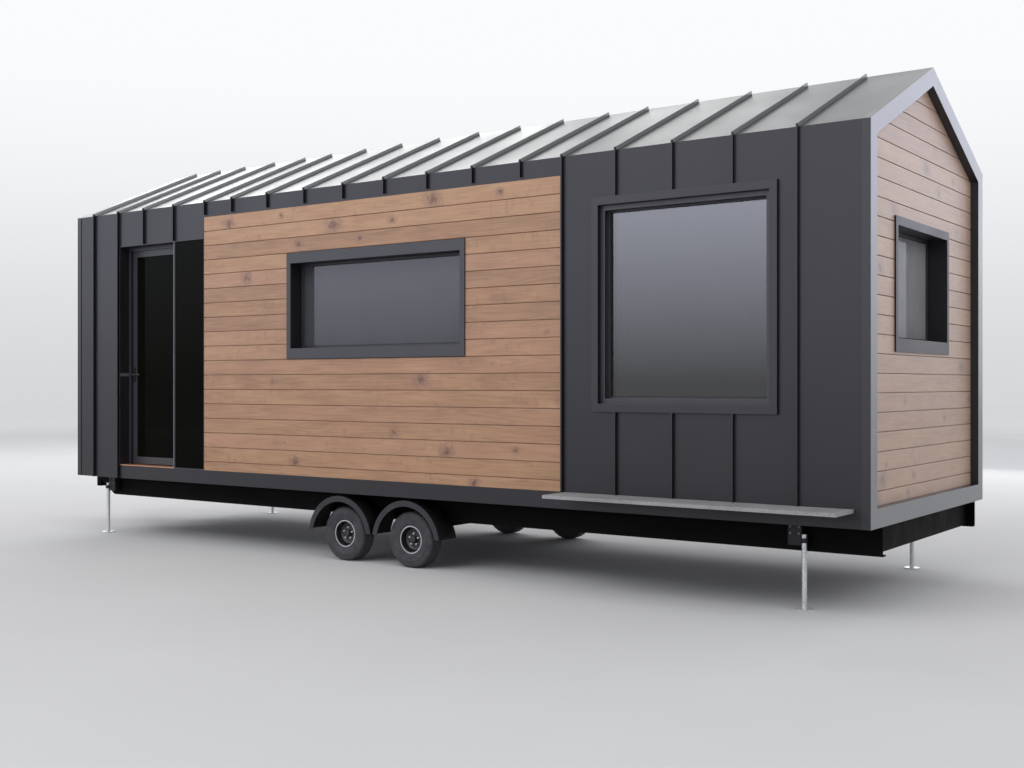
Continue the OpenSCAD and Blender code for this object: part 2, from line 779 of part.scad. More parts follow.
module ledge() color([0.70, 0.70, 0.68]) placed()
    block(from_end(ledge_to), from_end(ledge_from), -ledge_out, 0, floor_z - ledge_t, floor_z);

// Chassis

// A channel with its flanges turned in, and its drawbar end cut back underneath
module rail() difference() {
    along_x(0, house_l) polygon([
        [rail_in, rail_z], [rail_in + rail_flange, rail_z],
        [rail_in + rail_flange, rail_z + rail_flange_t], [rail_in + rail_web_t, rail_z + rail_flange_t],
        [rail_in + rail_web_t, skirt_z - rail_flange_t], [rail_in + rail_flange, skirt_z - rail_flange_t],
        [rail_in + rail_flange, skirt_z], [rail_in, skirt_z]]);
    translate([0, rail_in - over, rail_z]) rotate([90, 0, 0]) mirror([0, 0, 1])
        linear_extrude(rail_flange + 2 * over) polygon([
            [-over, -over], [rail_cut_l, -over], [rail_cut_l, 0], [0, rail_cut_h], [-over, rail_cut_h]]);
}

module chassis_rails() color(steel_c) placed() both_sides() rail();

module cross_members() color(steel_c) placed() {
    last = house_l - portal_d - cross_w;
    low = rail_z + rail_flange_t + fit_gap;
    high = skirt_z - rail_flange_t - fit_gap;
    for (i = [0:cross_count - 1]) {
        x = last * i / (cross_count - 1);
        bottom = x < rail_cut_l ? skirt_z - cross_short_h : low;
        block(x, x + cross_w, rail_in + rail_web_t + fit_gap, house_w - rail_in - rail_web_t - fit_gap,
            bottom, high);
    }
}

// One arm of the drawbar, from the first cross member to the coupling
module drawbar_arm() {
    run = drawbar_l - coupler_l;
    side = arm_spread / 2;
    tip = arm_w / 2;
    translate([0, 0, arm_z]) linear_extrude(arm_h) polygon([
        [0, mid_y - side - arm_w / 2], [0, mid_y - side + arm_w / 2],
        [-run, mid_y - fit_gap], [-run, mid_y - tip - arm_w / 2]]);
}

module drawbar() color(steel_c) placed() {
    drawbar_arm();
    other_side() drawbar_arm();
}

// Neck plate, tapering body and head with a ball socket open underneath
module coupling() color(galv_c) placed() {
    head_r = socket_r + socket_wall;
    head_x = -drawbar_l + head_r;
    base_x = -drawbar_l + coupler_l;
    body_z = arm_z + (arm_h - coupler_h) / 2;
    difference() {
        union() {
            block(base_x - neck_t, base_x - fit_gap, mid_y - arm_w, mid_y + arm_w, arm_z, arm_z + arm_h);
            translate([0, 0, body_z]) linear_extrude(coupler_h) polygon([
                [base_x - neck_t, mid_y - arm_w / 2], [base_x - neck_t, mid_y + arm_w / 2],
                [head_x, mid_y + coupler_nose / 2], [head_x, mid_y - coupler_nose / 2]]);
            translate([head_x, mid_y, arm_z + socket_up]) cylinder(r = head_r, h = socket_h + socket_cap);
        }
        translate([head_x, mid_y, arm_z + socket_up - over]) cylinder(r = socket_r, h = socket_h + over);
    }
}

// A square beam under both rails, with a trailing arm and a spindle at each end
module axle(x) {
    half = axle_beam / 2;
    block(x + trail - half, x + trail + half, swing_y + swing_t / 2, house_w - swing_y - swing_t / 2,
        rail_z - axle_beam, rail_z);
    both_sides() {
        translate([0, swing_y + swing_t, 0]) rotate([90, 0, 0]) linear_extrude(swing_t) hull() {
            translate([x + trail, rail_z - half]) circle(r = half - over);
            translate([x, tyre_r]) circle(r = half);
        }
        translate([x, swing_y + over, tyre_r]) rotate([90, 0, 0])
            cylinder(r = spindle_r, h = swing_y + over - wheel_y + spindle_end);
    }
}

module axles() color(steel_c) placed() {
    axle(lead_x);
    axle(trail_x);
}

// An arch of sheet over one wheel, with a flat lip at the front
module mudguard(x) difference() {
    translate([x, 0, guard_z]) rotate([-90, 0, 0]) difference() {
        cylinder(r = guard_r, h = rail_in, $fn = 96);
        translate([0, 0, guard_t]) cylinder(r = guard_r - guard_t, h = rail_in, $fn = 96);
        translate([0, 0, -over]) cylinder(r = guard_r - guard_lip, h = rail_in, $fn = 96);
    }
    block(x - guard_r - over, x + guard_r + over, -over, rail_in + over,
        guard_z - guard_r - over, guard_end_z);
}

module mudguards() color([0.20, 0.20, 0.22]) placed() both_sides() {
    mudguard(lead_x);
    mudguard(trail_x);
}

// Wheels

// Section of a tyre from bead to crown, turned round the wheel's axis
module tyre_section() {
    w = tyre_w / 2;
    foot_r = rim_r + rim_lip + fit_gap;
    widest_r = (tyre_r + rim_r) / 2;
    flank = [for (a = [0:15:90])
        [widest_r - (widest_r - foot_r) * cos(a), bead_w + (w - bead_w) * sin(a)]];
    crown = [for (a = [0:15:90])
        [tyre_r - shoulder_r + shoulder_r * sin(a), w - shoulder_r + shoulder_r * cos(a)]];
    side = concat([[rim_r + fit_gap, bead_w]], flank, crown);
    polygon(concat(side, [for (i = [len(side) - 1:-1:0]) [side[i][0], -side[i][1]]]));
}

// A tyre with its outer face at a distance in from the side wall
module tyre(x) color(tyre_c) translate([x, wheel_y, tyre_r])
    rotate([90, 0, 0]) rotate_extrude($fn = 96) tyre_section();

// Section of a pressed rim with its disc, dust cap and hub, which is bored from the back for the spindle
module rim_section() {
    seat = bead_w + fit_gap;
    lip_r = rim_r + rim_lip;
    barrel_r = rim_r - rim_t;
    bore_r = spindle_r + spindle_clear;
    disc = [for (a = [0:30:180])
        [flat_r + (barrel_r - flat_r) * a / 180, disc_y + disc_crown * sin(a)]];
    polygon(concat(
        [[0, cap_y], [cap_r - cap_t, cap_y], [cap_r, cap_y - cap_t], [cap_r, disc_y]],
        disc,
        [[barrel_r, seat + rim_t], [lip_r, seat + rim_t], [lip_r, seat], [rim_r, seat],
            [rim_r, -seat], [lip_r, -seat], [lip_r, -seat - rim_t], [barrel_r, -seat - rim_t]],
        [for (i = [len(disc) - 1:-1:0]) [disc[i][0], disc[i][1] - disc_t]],
        [[hub_r, disc_y - disc_t], [hub_r, -bead_w], [bore_r, -bead_w], [bore_r, bore_end],
            [0, bore_end]]));
}

// A pressed steel rim inside its tyre
module rim(x) color([0.62, 0.63, 0.65]) translate([x, wheel_y, tyre_r])
    rotate([90, 0, 0]) rotate_extrude($fn = 96) rim_section();

module tyre_lead_front() placed() tyre(lead_x);

module rim_lead_front() placed() rim(lead_x);

module tyre_lead_rear() placed() other_side() tyre(lead_x);

module rim_lead_rear() placed() other_side() rim(lead_x);

module tyre_trail_front() placed() tyre(trail_x);

module rim_trail_front() placed() rim(trail_x);

module tyre_trail_rear() placed() other_side() tyre(trail_x);

module rim_trail_rear() placed() other_side() rim(trail_x);

// Corner legs

// Places of the two legs on one side, with the bracket's direction
module at_legs() {
    translate([leg_near_drawbar, leg_in, 0]) children();
    translate([house_l - leg_far_end, leg_in, 0]) mirror([1, 0, 0]) children();
}

// A plate bracket on the rail with an eye round the leg
module leg_bracket() {
    x0 = leg_r + fit_gap;
    depth = rail_in - leg_in;
    z0 = skirt_z - bracket_h;
    difference() {
        union() {
            block(x0, x0 + bracket_w, -bracket_t / 2, bracket_t / 2, z0, skirt_z);
            block(x0, x0 + bracket_t, -bracket_t / 2, depth, z0, skirt_z);
            block(x0 + bracket_w - bracket_t, x0 + bracket_w, -bracket_t / 2, depth, z0, skirt_z);
            block(x0, x0 + bracket_w, -bracket_t / 2, depth, z0, z0 + bracket_t);
            translate([0, 0, z0 + eye_up]) cylinder(r = leg_r + bracket_t, h = eye_h);
        }
        translate([0, 0, z0]) cylinder(r = leg_r + fit_gap, h = bracket_h);
    }
}

module leg_brackets() color(frame_c) placed() both_sides() at_legs() leg_bracket();

module corner_legs() color(galv_c) placed() both_sides() at_legs() {
    cylinder(r = leg_r, h = leg_top);
    cylinder(r = foot_r, h = foot_t);
}

floor_deck();
side_skirts();
front_wall_left();
front_wall_over_door();
front_wall_middle();
front_wall_right();
rear_wall();
right_gable_wall();
left_gable_wall();
roof_front();
roof_rear();
front_metal();
rear_metal();
roof_metal_front();
roof_metal_rear();
front_wood();
rear_wood();
gable_wood();
portal_frames();
strip_window_frames();
big_window_frame();
gable_window_frames();
window_glass();
door_frame();
threshold();
chassis_rails();
cross_members();
drawbar();
coupling();
axles();
mudguards();
leg_brackets();
corner_legs();
ledge();
door_leaf();
door_glass();
door_handle();
tyre_lead_front();
rim_lead_front();
tyre_lead_rear();
rim_lead_rear();
tyre_trail_front();
rim_trail_front();
tyre_trail_rear();
rim_trail_rear();
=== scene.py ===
import math
import random

import bmesh
import bpy
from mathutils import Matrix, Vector


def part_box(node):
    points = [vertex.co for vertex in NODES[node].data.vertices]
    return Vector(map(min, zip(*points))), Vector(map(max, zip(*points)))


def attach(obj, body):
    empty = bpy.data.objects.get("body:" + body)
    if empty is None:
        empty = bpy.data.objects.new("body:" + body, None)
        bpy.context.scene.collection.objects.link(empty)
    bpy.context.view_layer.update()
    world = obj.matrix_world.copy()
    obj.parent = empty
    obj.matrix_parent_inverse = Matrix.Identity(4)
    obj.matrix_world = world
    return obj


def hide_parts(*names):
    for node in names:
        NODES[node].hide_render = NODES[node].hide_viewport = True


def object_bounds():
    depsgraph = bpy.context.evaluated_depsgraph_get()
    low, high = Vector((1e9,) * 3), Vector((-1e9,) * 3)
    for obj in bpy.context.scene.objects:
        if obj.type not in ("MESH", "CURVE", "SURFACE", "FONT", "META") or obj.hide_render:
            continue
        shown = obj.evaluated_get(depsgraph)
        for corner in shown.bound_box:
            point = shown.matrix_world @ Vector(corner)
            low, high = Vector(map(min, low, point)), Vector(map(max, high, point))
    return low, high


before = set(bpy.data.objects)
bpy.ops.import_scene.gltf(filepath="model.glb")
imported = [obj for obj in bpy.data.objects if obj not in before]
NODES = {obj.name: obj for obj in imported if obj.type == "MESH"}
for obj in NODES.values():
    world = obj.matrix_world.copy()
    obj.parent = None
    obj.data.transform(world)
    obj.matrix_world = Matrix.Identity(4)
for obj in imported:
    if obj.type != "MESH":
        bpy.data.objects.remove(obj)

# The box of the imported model, before anything is added
CAD_BOX = [list(corner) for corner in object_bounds()]
DRAWS = random.Random(11)

# Places read from the frame, in metres
PORTAL_LOW, PORTAL_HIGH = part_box("portal_frames")
FRONT_WOOD_LOW, FRONT_WOOD_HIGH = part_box("front_wood")
REAR_WOOD_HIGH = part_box("rear_wood")[1]
GABLE_WOOD_LOW, GABLE_WOOD_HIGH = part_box("gable_wood")
STRIP_LOW, STRIP_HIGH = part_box("strip_window_frames")
GABLE_WIN_LOW, GABLE_WIN_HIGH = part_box("gable_window_frames")
BIG_LOW, BIG_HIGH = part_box("big_window_frame")
DOOR_LOW, DOOR_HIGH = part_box("door_frame")
FRONT_Y = PORTAL_LOW.y
REAR_Y = PORTAL_HIGH.y
MIDDLE_Y = (FRONT_Y + REAR_Y) / 2

# Sizes that the frame's boxes don't give, in metres
FIT_GAP = 0.0003
CLAD_T = 0.025
EAVE_Z = 3.117
ROOF_FALL = (PORTAL_HIGH.z - EAVE_Z) / (MIDDLE_Y - FRONT_Y)
TINY = 1e-6

# Colours of the coated metal, with two near black ones that are painted shade in window reveals, and the
# roof's roughness
ANTHRACITE = (0.0100, 0.0095, 0.0130)
SHADOW_BLACK = (0.0035, 0.0035, 0.0045)
PAINTED_REVEAL_SHADE = (0.0055, 0.0050, 0.0075)
FRAME_PAINT = (0.028, 0.027, 0.034)
ROOF_ROUGH = 0.33

# Most of a noise's values lie between these
NOISE_LOW = 0.3
NOISE_HIGH = 0.7


# Node trees

def shade(colour, factor):
    return tuple(channel * factor for channel in colour)


class Finish:
    """A material whose pattern is built a node at a time, in front of its Principled shader."""

    def __init__(self, name, **sockets):
        self.material = bpy.data.materials.new(name)
        self.material.use_nodes = True
        self.tree = self.material.node_tree
        self.shader = self.tree.nodes["Principled BSDF"]
        for socket, value in sockets.items():
            self.shader.inputs[socket.replace("_", " ")].default_value = value
        self.place = self.add("ShaderNodeTexCoord").outputs["Object"]

    def add(self, kind, feeds=None, **settings):
        """A new node with its settings, and with values or other nodes' outputs fed to its inputs."""
        made = self.tree.nodes.new(kind)
        for key, value in settings.items():
            setattr(made, key, value)
        for key, value in (feeds or {}).items():
            self.feed(made.inputs[key], value)
        return made

    def feed(self, socket, value):
        if isinstance(value, bpy.types.NodeSocket):
            self.tree.links.new(value, socket)
        else:
            socket.default_value = value

    def calc(self, operation, a, b=0.0, clamp=False):
        return self.add("ShaderNodeMath", {0: a, 1: b}, operation=operation, use_clamp=clamp).outputs[0]

    def plus(self, a, b):
        return self.calc("ADD", a, b)

    def minus(self, a, b):
        return self.calc("SUBTRACT", a, b)

    def times(self, a, b, clamp=False):
        return self.calc("MULTIPLY", a, b, clamp)

    def length(self, vector):
        return self.add("ShaderNodeVectorMath", {0: vector}, operation="LENGTH").outputs["Value"]

    def axes(self):
        """The place's X, Y and Z."""
        return self.add("ShaderNodeSeparateXYZ", {0: self.place}).outputs

    def normal(self):
        """The surface's direction along X, Y and Z, each from -1 to 1."""
        geometry = self.add("ShaderNodeNewGeometry")
        return self.add("ShaderNodeSeparateXYZ", {0: geometry.outputs["Normal"]}).outputs

    def facing(self):
        """How far the surface faces along X, Y and Z, each from 0 to 1."""
        return [self.calc("ABSOLUTE", part) for part in self.normal()]

    def vector(self, x, y, z):
        return self.add("ShaderNodeCombineXYZ", {0: x, 1: y, 2: z}).outputs[0]

    def noise(self, vector, scale, detail=2.0, roughness=0.5, distortion=0.0):
        feeds = {"Vector": vector, "Scale": scale, "Detail": detail, "Roughness": roughness,
                 "Distortion": distortion}
        return self.add("ShaderNodeTexNoise", feeds).outputs["Fac"]

    def remap(self, value, low, high, to_low=0.0, to_high=1.0, smooth=False):
        kind = "SMOOTHSTEP" if smooth else "LINEAR"
        feeds = {"Value": value, "From Min": low, "From Max": high, "To Min": to_low, "To Max": to_high}
        return self.add("ShaderNodeMapRange", feeds, interpolation_type=kind).outputs[0]

    def spread(self, noise, to_low=0.0, to_high=1.0):
        """A noise's usual range stretched to another one."""
        return self.remap(noise, NOISE_LOW, NOISE_HIGH, to_low, to_high)

    def joints(self, place, pitch, start, full):
        """1 in the joints of boards laid at a pitch, and 0 on the boards.

        start and full, in shares of the pitch from a board's middle, are where a joint begins and is
        whole."""
        share = self.calc("FRACT", self.calc("DIVIDE", place, pitch))
        return self.remap(self.calc("ABSOLUTE", self.minus(share, 0.5)), start, full)

    def ramp(self, value, stops):
        """A colour ramp through (position, colour) stops."""
        made = self.add("ShaderNodeValToRGB", {0: value})
        elements = made.color_ramp.elements
        while len(elements) < len(stops):
            elements.new(0.5)
        for element, (position, colour) in zip(elements, stops):
            element.position = position
            element.color = (*colour, 1.0)
        return made.outputs[0]

    def mix(self, factor, a, b, blend="MIX"):
        """Two colours mixed; a colour is three numbers or another node's output."""
        made = self.add("ShaderNodeMix", data_type="RGBA", blend_type=blend)
        for index, value in ((0, factor), (6, a), (7, b)):
            if isinstance(value, tuple):
                value = (*value, 1.0)
            self.feed(made.inputs[index], value)
        return made.outputs[2]

    def mottle(self, noise, colour, darkest, lightest):
        """One colour, which a noise darkens and lightens by the two factors."""
        return self.mix(self.spread(noise), shade(colour, darkest), shade(colour, lightest))

    def bump(self, height, strength, distance):
        feeds = {"Height": height, "Strength": strength, "Distance": distance}
        made = self.add("ShaderNodeBump", feeds)
        self.feed(self.shader.inputs["Normal"], made.outputs[0])

    def colour(self, value):
        self.feed(self.shader.inputs["Base Color"], value)

    def roughness(self, value):
        self.feed(self.shader.inputs["Roughness"], value)


# Finishes

def sheet_metal(name, colour, rough, painted_side_light, shine, canning=0.5):
    """Coated steel sheet: a slight unevenness of tone, faint rain streaks and a gentle waviness.

    The fourth argument holds the factors on the colour of what faces along the house, such as the
    seams' sides, at the drawbar end and at the far end: painted light above 1 and painted shade below 1.
    canning is the strength of the waviness."""
    f = Finish(name, Specular_IOR_Level=shine)
    x, y, z = f.axes()
    cloud = f.noise(f.place, 1.3, 4.0)
    streaks = f.noise(f.vector(f.times(x, 7.0), f.times(y, 7.0), f.times(z, 0.4)), 1.5, 4.0, 0.6)
    tone = f.plus(f.times(cloud, 0.6), f.times(streaks, 0.4))
    coat = f.mottle(tone, colour, 0.88, 1.14)
    # Painted light and shade: what faces along the house is lightened or darkened, by factors that change
    # from the drawbar end to the far end
    along = f.remap(x, PORTAL_LOW.x, PORTAL_HIGH.x)
    sides = f.mix(along, shade(colour, painted_side_light[0]), shade(colour, painted_side_light[1]))
    f.colour(f.mix(f.remap(f.facing()[0], 0.6, 0.9), coat, sides))
    f.roughness(f.spread(cloud, rough - 0.03, rough + 0.04))
    f.bump(f.noise(f.place, 2.0, 1.0), 0.1 * canning, 0.01)
    return f.material


def powder_coat(name, colour, rough):
    """Powder coated aluminium: a fine grain in the gloss and a faint change of tone."""
    f = Finish(name)
    cloud = f.noise(f.place, 3.0, 3.0)
    grain = f.noise(f.place, 1400.0, 2.0)
    f.colour(f.mottle(cloud, colour, 0.9, 1.12))
    f.roughness(f.spread(cloud, rough - 0.03, rough + 0.03))
    f.bump(grain, 0.08, 0.0006)
    return f.material


BOARD_DARK = (0.217, 0.114, 0.060)
BOARD_MID = (0.338, 0.187, 0.101)
BOARD_LIGHT = (0.435, 0.259, 0.150)
KNOT = (0.085, 0.031, 0.019)
SMOKE = (0.205, 0.108, 0.072)
PAINTED_SHEEN_GREY = (0.45, 0.42, 0.42)
SANDY = (1.01, 1.015, 0.95)
PINKISH = (0.97, 0.95, 1.01)

# How far a draw shifts a board's pattern along and across its grain, and how often it turns the hue
DRAW_RUN = 61.0
DRAW_RISE = 17.0
HUE_TURNS = 7.3

# Knots: cells a metre, the draw from which a cell has one, the smallest radius and what the draw adds to
# it, the stretch along the board, and the farthest that one lies off the board's middle line
KNOTS_A_METRE = 1.3
KNOT_FROM = 0.40
KNOT_SMALLEST = 0.004
KNOT_GROWTH = 0.046
KNOT_STRETCH = 1.25
KNOT_OFF_MIDDLE = 0.04


def oiled_boards(name, along, pale, painted_sheen=0.0):
    """Planed softwood boards with fine grain, smoky patches and knots; each board has its own draw.

    pale is how far the tone is lifted towards the light wood, and the last argument how far it is greyed
    towards a pale grey, a painted sheen."""
    f = Finish(name)
    x, y, z = f.axes()
    board = f.add("ShaderNodeAttribute", attribute_name="board").outputs["Fac"]
    run = f.plus(x if along == "x" else y, f.times(board, DRAW_RUN))
    rise = f.plus(z, f.times(board, DRAW_RISE))

    def grained(run_scale, rise_scale, detail, roughness=0.5, distortion=0.0):
        stretched = f.vector(f.times(run, run_scale), f.times(rise, rise_scale), board)
        return f.noise(stretched, 1.0, detail, roughness, distortion)

    flow = grained(0.5, 6.0, 2.0, 0.5, 0.3)
    rings = f.times(f.calc("SINE", f.times(flow, 90.0)), 0.5)
    rings = f.plus(rings, 0.5)
    fine = grained(5.0, 190.0, 5.0, 0.65)
    streaks = grained(3.0, 62.0, 4.0, 0.6)
    patches = grained(2.2, 11.0, 3.0)
    tone = f.plus(f.times(rings, 0.08), f.times(fine, 0.24))
    tone = f.plus(tone, f.times(streaks, 0.30))
    tone = f.plus(tone, f.times(patches, 0.38))
    tone = f.plus(tone, f.remap(board, 0.0, 1.0, pale - 0.07, pale + 0.07))
    wood = f.ramp(tone, [(0.28, BOARD_DARK), (0.52, BOARD_MID), (0.80, BOARD_LIGHT)])
    ruddy = f.remap(grained(1.1, 8.0, 2.0), 0.45, 0.70, 0.0, 0.35, smooth=True)
    wood = f.mix(ruddy, wood, (1.0, 0.90, 0.93), "MULTIPLY")
    hue = f.mix(f.calc("FRACT", f.times(board, HUE_TURNS)), SANDY, PINKISH)
    wood = f.mix(1.0, wood, hue, "MULTIPLY")
    smoke = grained(15.0, 7.0, 3.0, 0.6)
    clouds = f.remap(grained(1.6, 9.0, 2.0), 0.45, 0.62, 0.0, 0.5, smooth=True)
    smudge = f.times(f.remap(smoke, 0.50, 0.72, 0.0, 1.0, smooth=True), clouds)
    wood = f.mix(smudge, wood, SMOKE)

    cells = f.add("ShaderNodeTexVoronoi", {"W": run, "Scale": KNOTS_A_METRE}, voronoi_dimensions="1D")
    drawn = f.add("ShaderNodeSeparateColor", {0: cells.outputs["Color"]}).outputs
    middle = f.add("ShaderNodeAttribute", attribute_name="middle").outputs["Fac"]
    shift = f.remap(drawn[1], 0.0, 1.0, -KNOT_OFF_MIDDLE, KNOT_OFF_MIDDLE)
    rise_from = f.minus(f.minus(z, middle), shift)
    run_from = f.calc("DIVIDE", cells.outputs["Distance"], KNOTS_A_METRE * KNOT_STRETCH)
    apart = f.length(f.vector(run_from, rise_from, 0.0))
    ragged = f.minus(grained(30.0, 26.0, 3.0, 0.7), 0.5)
    share = f.calc("POWER", f.remap(drawn[0], KNOT_FROM, 1.0), 3.0)
    radius = f.plus(f.times(share, KNOT_GROWTH), KNOT_SMALLEST)
    near = f.plus(f.calc("DIVIDE", apart, radius), f.times(ragged, 3.6))
    seen = f.remap(drawn[0], KNOT_FROM, 0.75)
    halo = f.times(f.remap(near, 0.7, 2.6, 0.66, 0.0, smooth=True), seen)
    heart = f.times(f.remap(near, 0.0, 1.1, 0.78, 0.0, smooth=True), seen)
    wood = f.mix(heart, f.mix(halo, wood, SMOKE), KNOT)
    # Painted sheen: the wood greyed towards a pale grey
    if painted_sheen:
        wood = f.mix(painted_sheen, wood, PAINTED_SHEEN_GREY)
    f.colour(wood)
    f.roughness(f.spread(fine, 0.46, 0.36))
    f.bump(f.plus(fine, f.times(rings, 0.25)), 0.14, 0.001)
    return f.material


LINING_PITCH = 0.12
DECK_PITCH = 0.14


def lining_boards():
    """Off-white painted lining boards inside the rooms, with fine upright joints."""
    f = Finish("lining_boards")
    x, y, _ = f.axes()
    joint = f.joints(f.plus(x, y), LINING_PITCH, 0.47, 0.495)
    cloud = f.noise(f.place, 2.5, 3.0)
    paint = f.mix(f.spread(cloud), (0.56, 0.55, 0.53), (0.66, 0.65, 0.63))
    f.colour(f.mix(joint, paint, (0.25, 0.24, 0.23)))
    f.roughness(f.spread(cloud, 0.6, 0.75))
    f.bump(f.minus(1.0, joint), 0.4, 0.002)
    return f.material


def deck_boards():
    """Floor boards on top of the deck, dark sealed board on its other faces."""
    f = Finish("deck_boards", Roughness=0.5)
    x, y, _ = f.axes()
    row = f.calc("FLOOR", f.calc("DIVIDE", y, DECK_PITCH))
    grain = f.noise(f.vector(f.times(x, 1.5), f.times(y, 60.0), row), 1.5, 5.0, 0.6)
    joint = f.joints(y, DECK_PITCH, 0.485, 0.497)
    oak = f.ramp(grain, [(0.3, (0.20, 0.115, 0.06)), (0.7, (0.42, 0.28, 0.17))])
    oak = f.mix(joint, oak, (0.06, 0.035, 0.02))
    seal = f.mix(f.noise(f.place, 6.0, 4.0), (0.02, 0.019, 0.018), (0.045, 0.042, 0.04))
    f.colour(f.mix(f.remap(f.normal()[2], 0.4, 0.6), seal, oak))
    f.bump(f.minus(grain, joint), 0.15, 0.001)
    return f.material


DUST_TO_Z = 0.45


def chassis_paint(name, colour, rough, shine):
    """Thick chassis paint with a dusty bloom low down."""
    f = Finish(name, Specular_IOR_Level=shine)
    height = f.axes()[2]
    cloud = f.noise(f.place, 7.0, 5.0, 0.6)
    dust = f.times(f.remap(height, 0.0, DUST_TO_Z, 0.3, 0.0), cloud, clamp=True)
    coat = f.mottle(cloud, colour, 0.75, 1.3)
    f.colour(f.mix(dust, coat, (0.10, 0.085, 0.068)))
    f.roughness(f.spread(cloud, rough - 0.06, rough + 0.1))
    f.bump(f.noise(f.place, 160.0, 3.0), 0.15, 0.001)
    return f.material


def guard_paint():
    """Mudguards: satin dark grey sheet, shown on the turned-in lip, which faces sideways; every other face
    is painted near black as shade.
    """
    f = Finish("guard_paint", Specular_IOR_Level=0.3)
    cloud = f.noise(f.place, 9.0, 4.0, 0.6)
    lip = f.remap(f.facing()[1], 0.7, 0.9)
    grey = f.mix(f.spread(cloud), (0.020, 0.019, 0.023), (0.032, 0.031, 0.036))
    # Painted shade: the faces that don't look sideways are near black
    f.colour(f.mix(lip, (0.0022, 0.0022, 0.0025), grey))
    f.roughness(f.spread(cloud, 0.46, 0.6))
    f.bump(f.noise(f.place, 140.0, 3.0), 0.12, 0.001)
    return f.material


LIP_FROM_R = 0.1025
LIP_FADE = 0.002
OUTBOARD_FADE = 0.01


def rim_paint():
    """Wheel rims: a bright rolled lip on the outer side, and a disc and barrel painted dark as shade in the
    dish.
    """
    f = Finish("rim_paint")
    x, y, z = f.axes()
    lead_low, lead_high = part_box("rim_lead_front")
    trail_low, trail_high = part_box("rim_trail_front")
    lead = (lead_low + lead_high) / 2
    trail = (trail_low + trail_high) / 2
    from_lead = f.calc("ABSOLUTE", f.minus(x, lead.x))
    from_trail = f.calc("ABSOLUTE", f.minus(x, trail.x))
    along = f.calc("MINIMUM", from_lead, from_trail)
    apart = f.length(f.vector(along, 0.0, f.minus(z, lead.z)))
    from_middle = f.calc("ABSOLUTE", f.minus(y, MIDDLE_Y))
    track = MIDDLE_Y - lead.y
    outboard = f.remap(from_middle, track, track + OUTBOARD_FADE)
    lip = f.times(f.remap(apart, LIP_FROM_R, LIP_FROM_R + LIP_FADE), outboard)
    cloud = f.noise(f.place, 18.0, 4.0, 0.6)
    silver = f.mix(f.spread(cloud), (0.34, 0.34, 0.36), (0.46, 0.46, 0.48))
    dark = f.mix(f.spread(cloud), (0.012, 0.012, 0.013), (0.024, 0.024, 0.026))
    # Painted shade: inside the lip the rim is near black
    f.colour(f.mix(lip, dark, silver))
    f.roughness(f.spread(cloud, 0.34, 0.46))
    f.bump(f.noise(f.place, 500.0, 2.0), 0.05, 0.0006)
    return f.material


def galvanised():
    """Hot dip zinc with its crystal spangle."""
    f = Finish("galvanised", Metallic=0.85)
    cells = f.add("ShaderNodeTexVoronoi", {"Vector": f.place, "Scale": 95.0})
    pick = f.add("ShaderNodeSeparateColor", {0: cells.outputs["Color"]}).outputs[0]
    cloud = f.noise(f.place, 14.0, 4.0)
    tone = f.plus(f.times(pick, 0.55), f.times(cloud, 0.45))
    f.colour(f.mix(tone, (0.44, 0.46, 0.47), (0.74, 0.76, 0.77)))
    f.roughness(f.remap(pick, 0.0, 1.0, 0.34, 0.52))
    f.bump(cloud, 0.1, 0.001)
    return f.material


def speckled_stone():
    """Pale cut stone with light and dark grains and a few pits."""
    f = Finish("speckled_stone")
    grains = f.noise(f.place, 85.0, 5.0, 0.8)
    specks = f.noise(f.place, 240.0, 3.0, 0.7)
    cloud = f.noise(f.place, 4.0, 4.0)
    stone = f.mix(f.spread(cloud), (0.23, 0.23, 0.235), (0.31, 0.31, 0.31))
    stone = f.mix(f.remap(grains, 0.50, 0.62, 0.0, 0.75), stone, (0.13, 0.128, 0.127))
    stone = f.mix(f.remap(specks, 0.60, 0.68, 0.0, 0.9), stone, (0.05, 0.049, 0.048))
    f.colour(stone)
    f.roughness(f.spread(grains, 0.48, 0.68))
    f.bump(grains, 0.3, 0.001)
    return f.material


def brushed_copper():
    """A thin copper coloured strip, brushed along its length."""
    f = Finish("brushed_copper", Metallic=0.8)
    x, y, z = f.axes()
    lines = f.noise(f.vector(f.times(x, 4.0), f.times(y, 260.0), z), 2.0, 4.0, 0.7)
    f.colour(f.mix(lines, (0.40, 0.185, 0.105), (0.66, 0.34, 0.21)))
    f.roughness(f.spread(lines, 0.30, 0.48))
    f.bump(lines, 0.1, 0.0005)
    return f.material


def rubber():
    """Tyre rubber, a little grey with dust where it is rough."""
    f = Finish("rubber", Roughness=0.78)
    cloud = f.noise(f.place, 16.0, 5.0, 0.65)
    f.colour(f.mix(f.remap(cloud, 0.35, 0.7), (0.026, 0.025, 0.029), (0.056, 0.054, 0.060)))
    f.bump(f.noise(f.place, 420.0, 3.0), 0.25, 0.0008)
    return f.material


def pane(name, ior, cover, tint):
    """Tinted glass: cover is the share of what is behind that it hides, under its reflection."""
    f = Finish(name, IOR=ior, Alpha=cover)
    film = f.noise(f.place, 5.0, 3.0)
    f.colour(f.mix(film, shade(tint, 0.85), shade(tint, 1.15)))
    f.roughness(f.remap(film, 0.35, 0.7, 0.0, 0.035))
    f.bump(f.noise(f.place, 1.5, 1.0), 0.03, 0.004)
    return f.material


PORTAL_ROUGH = 0.37


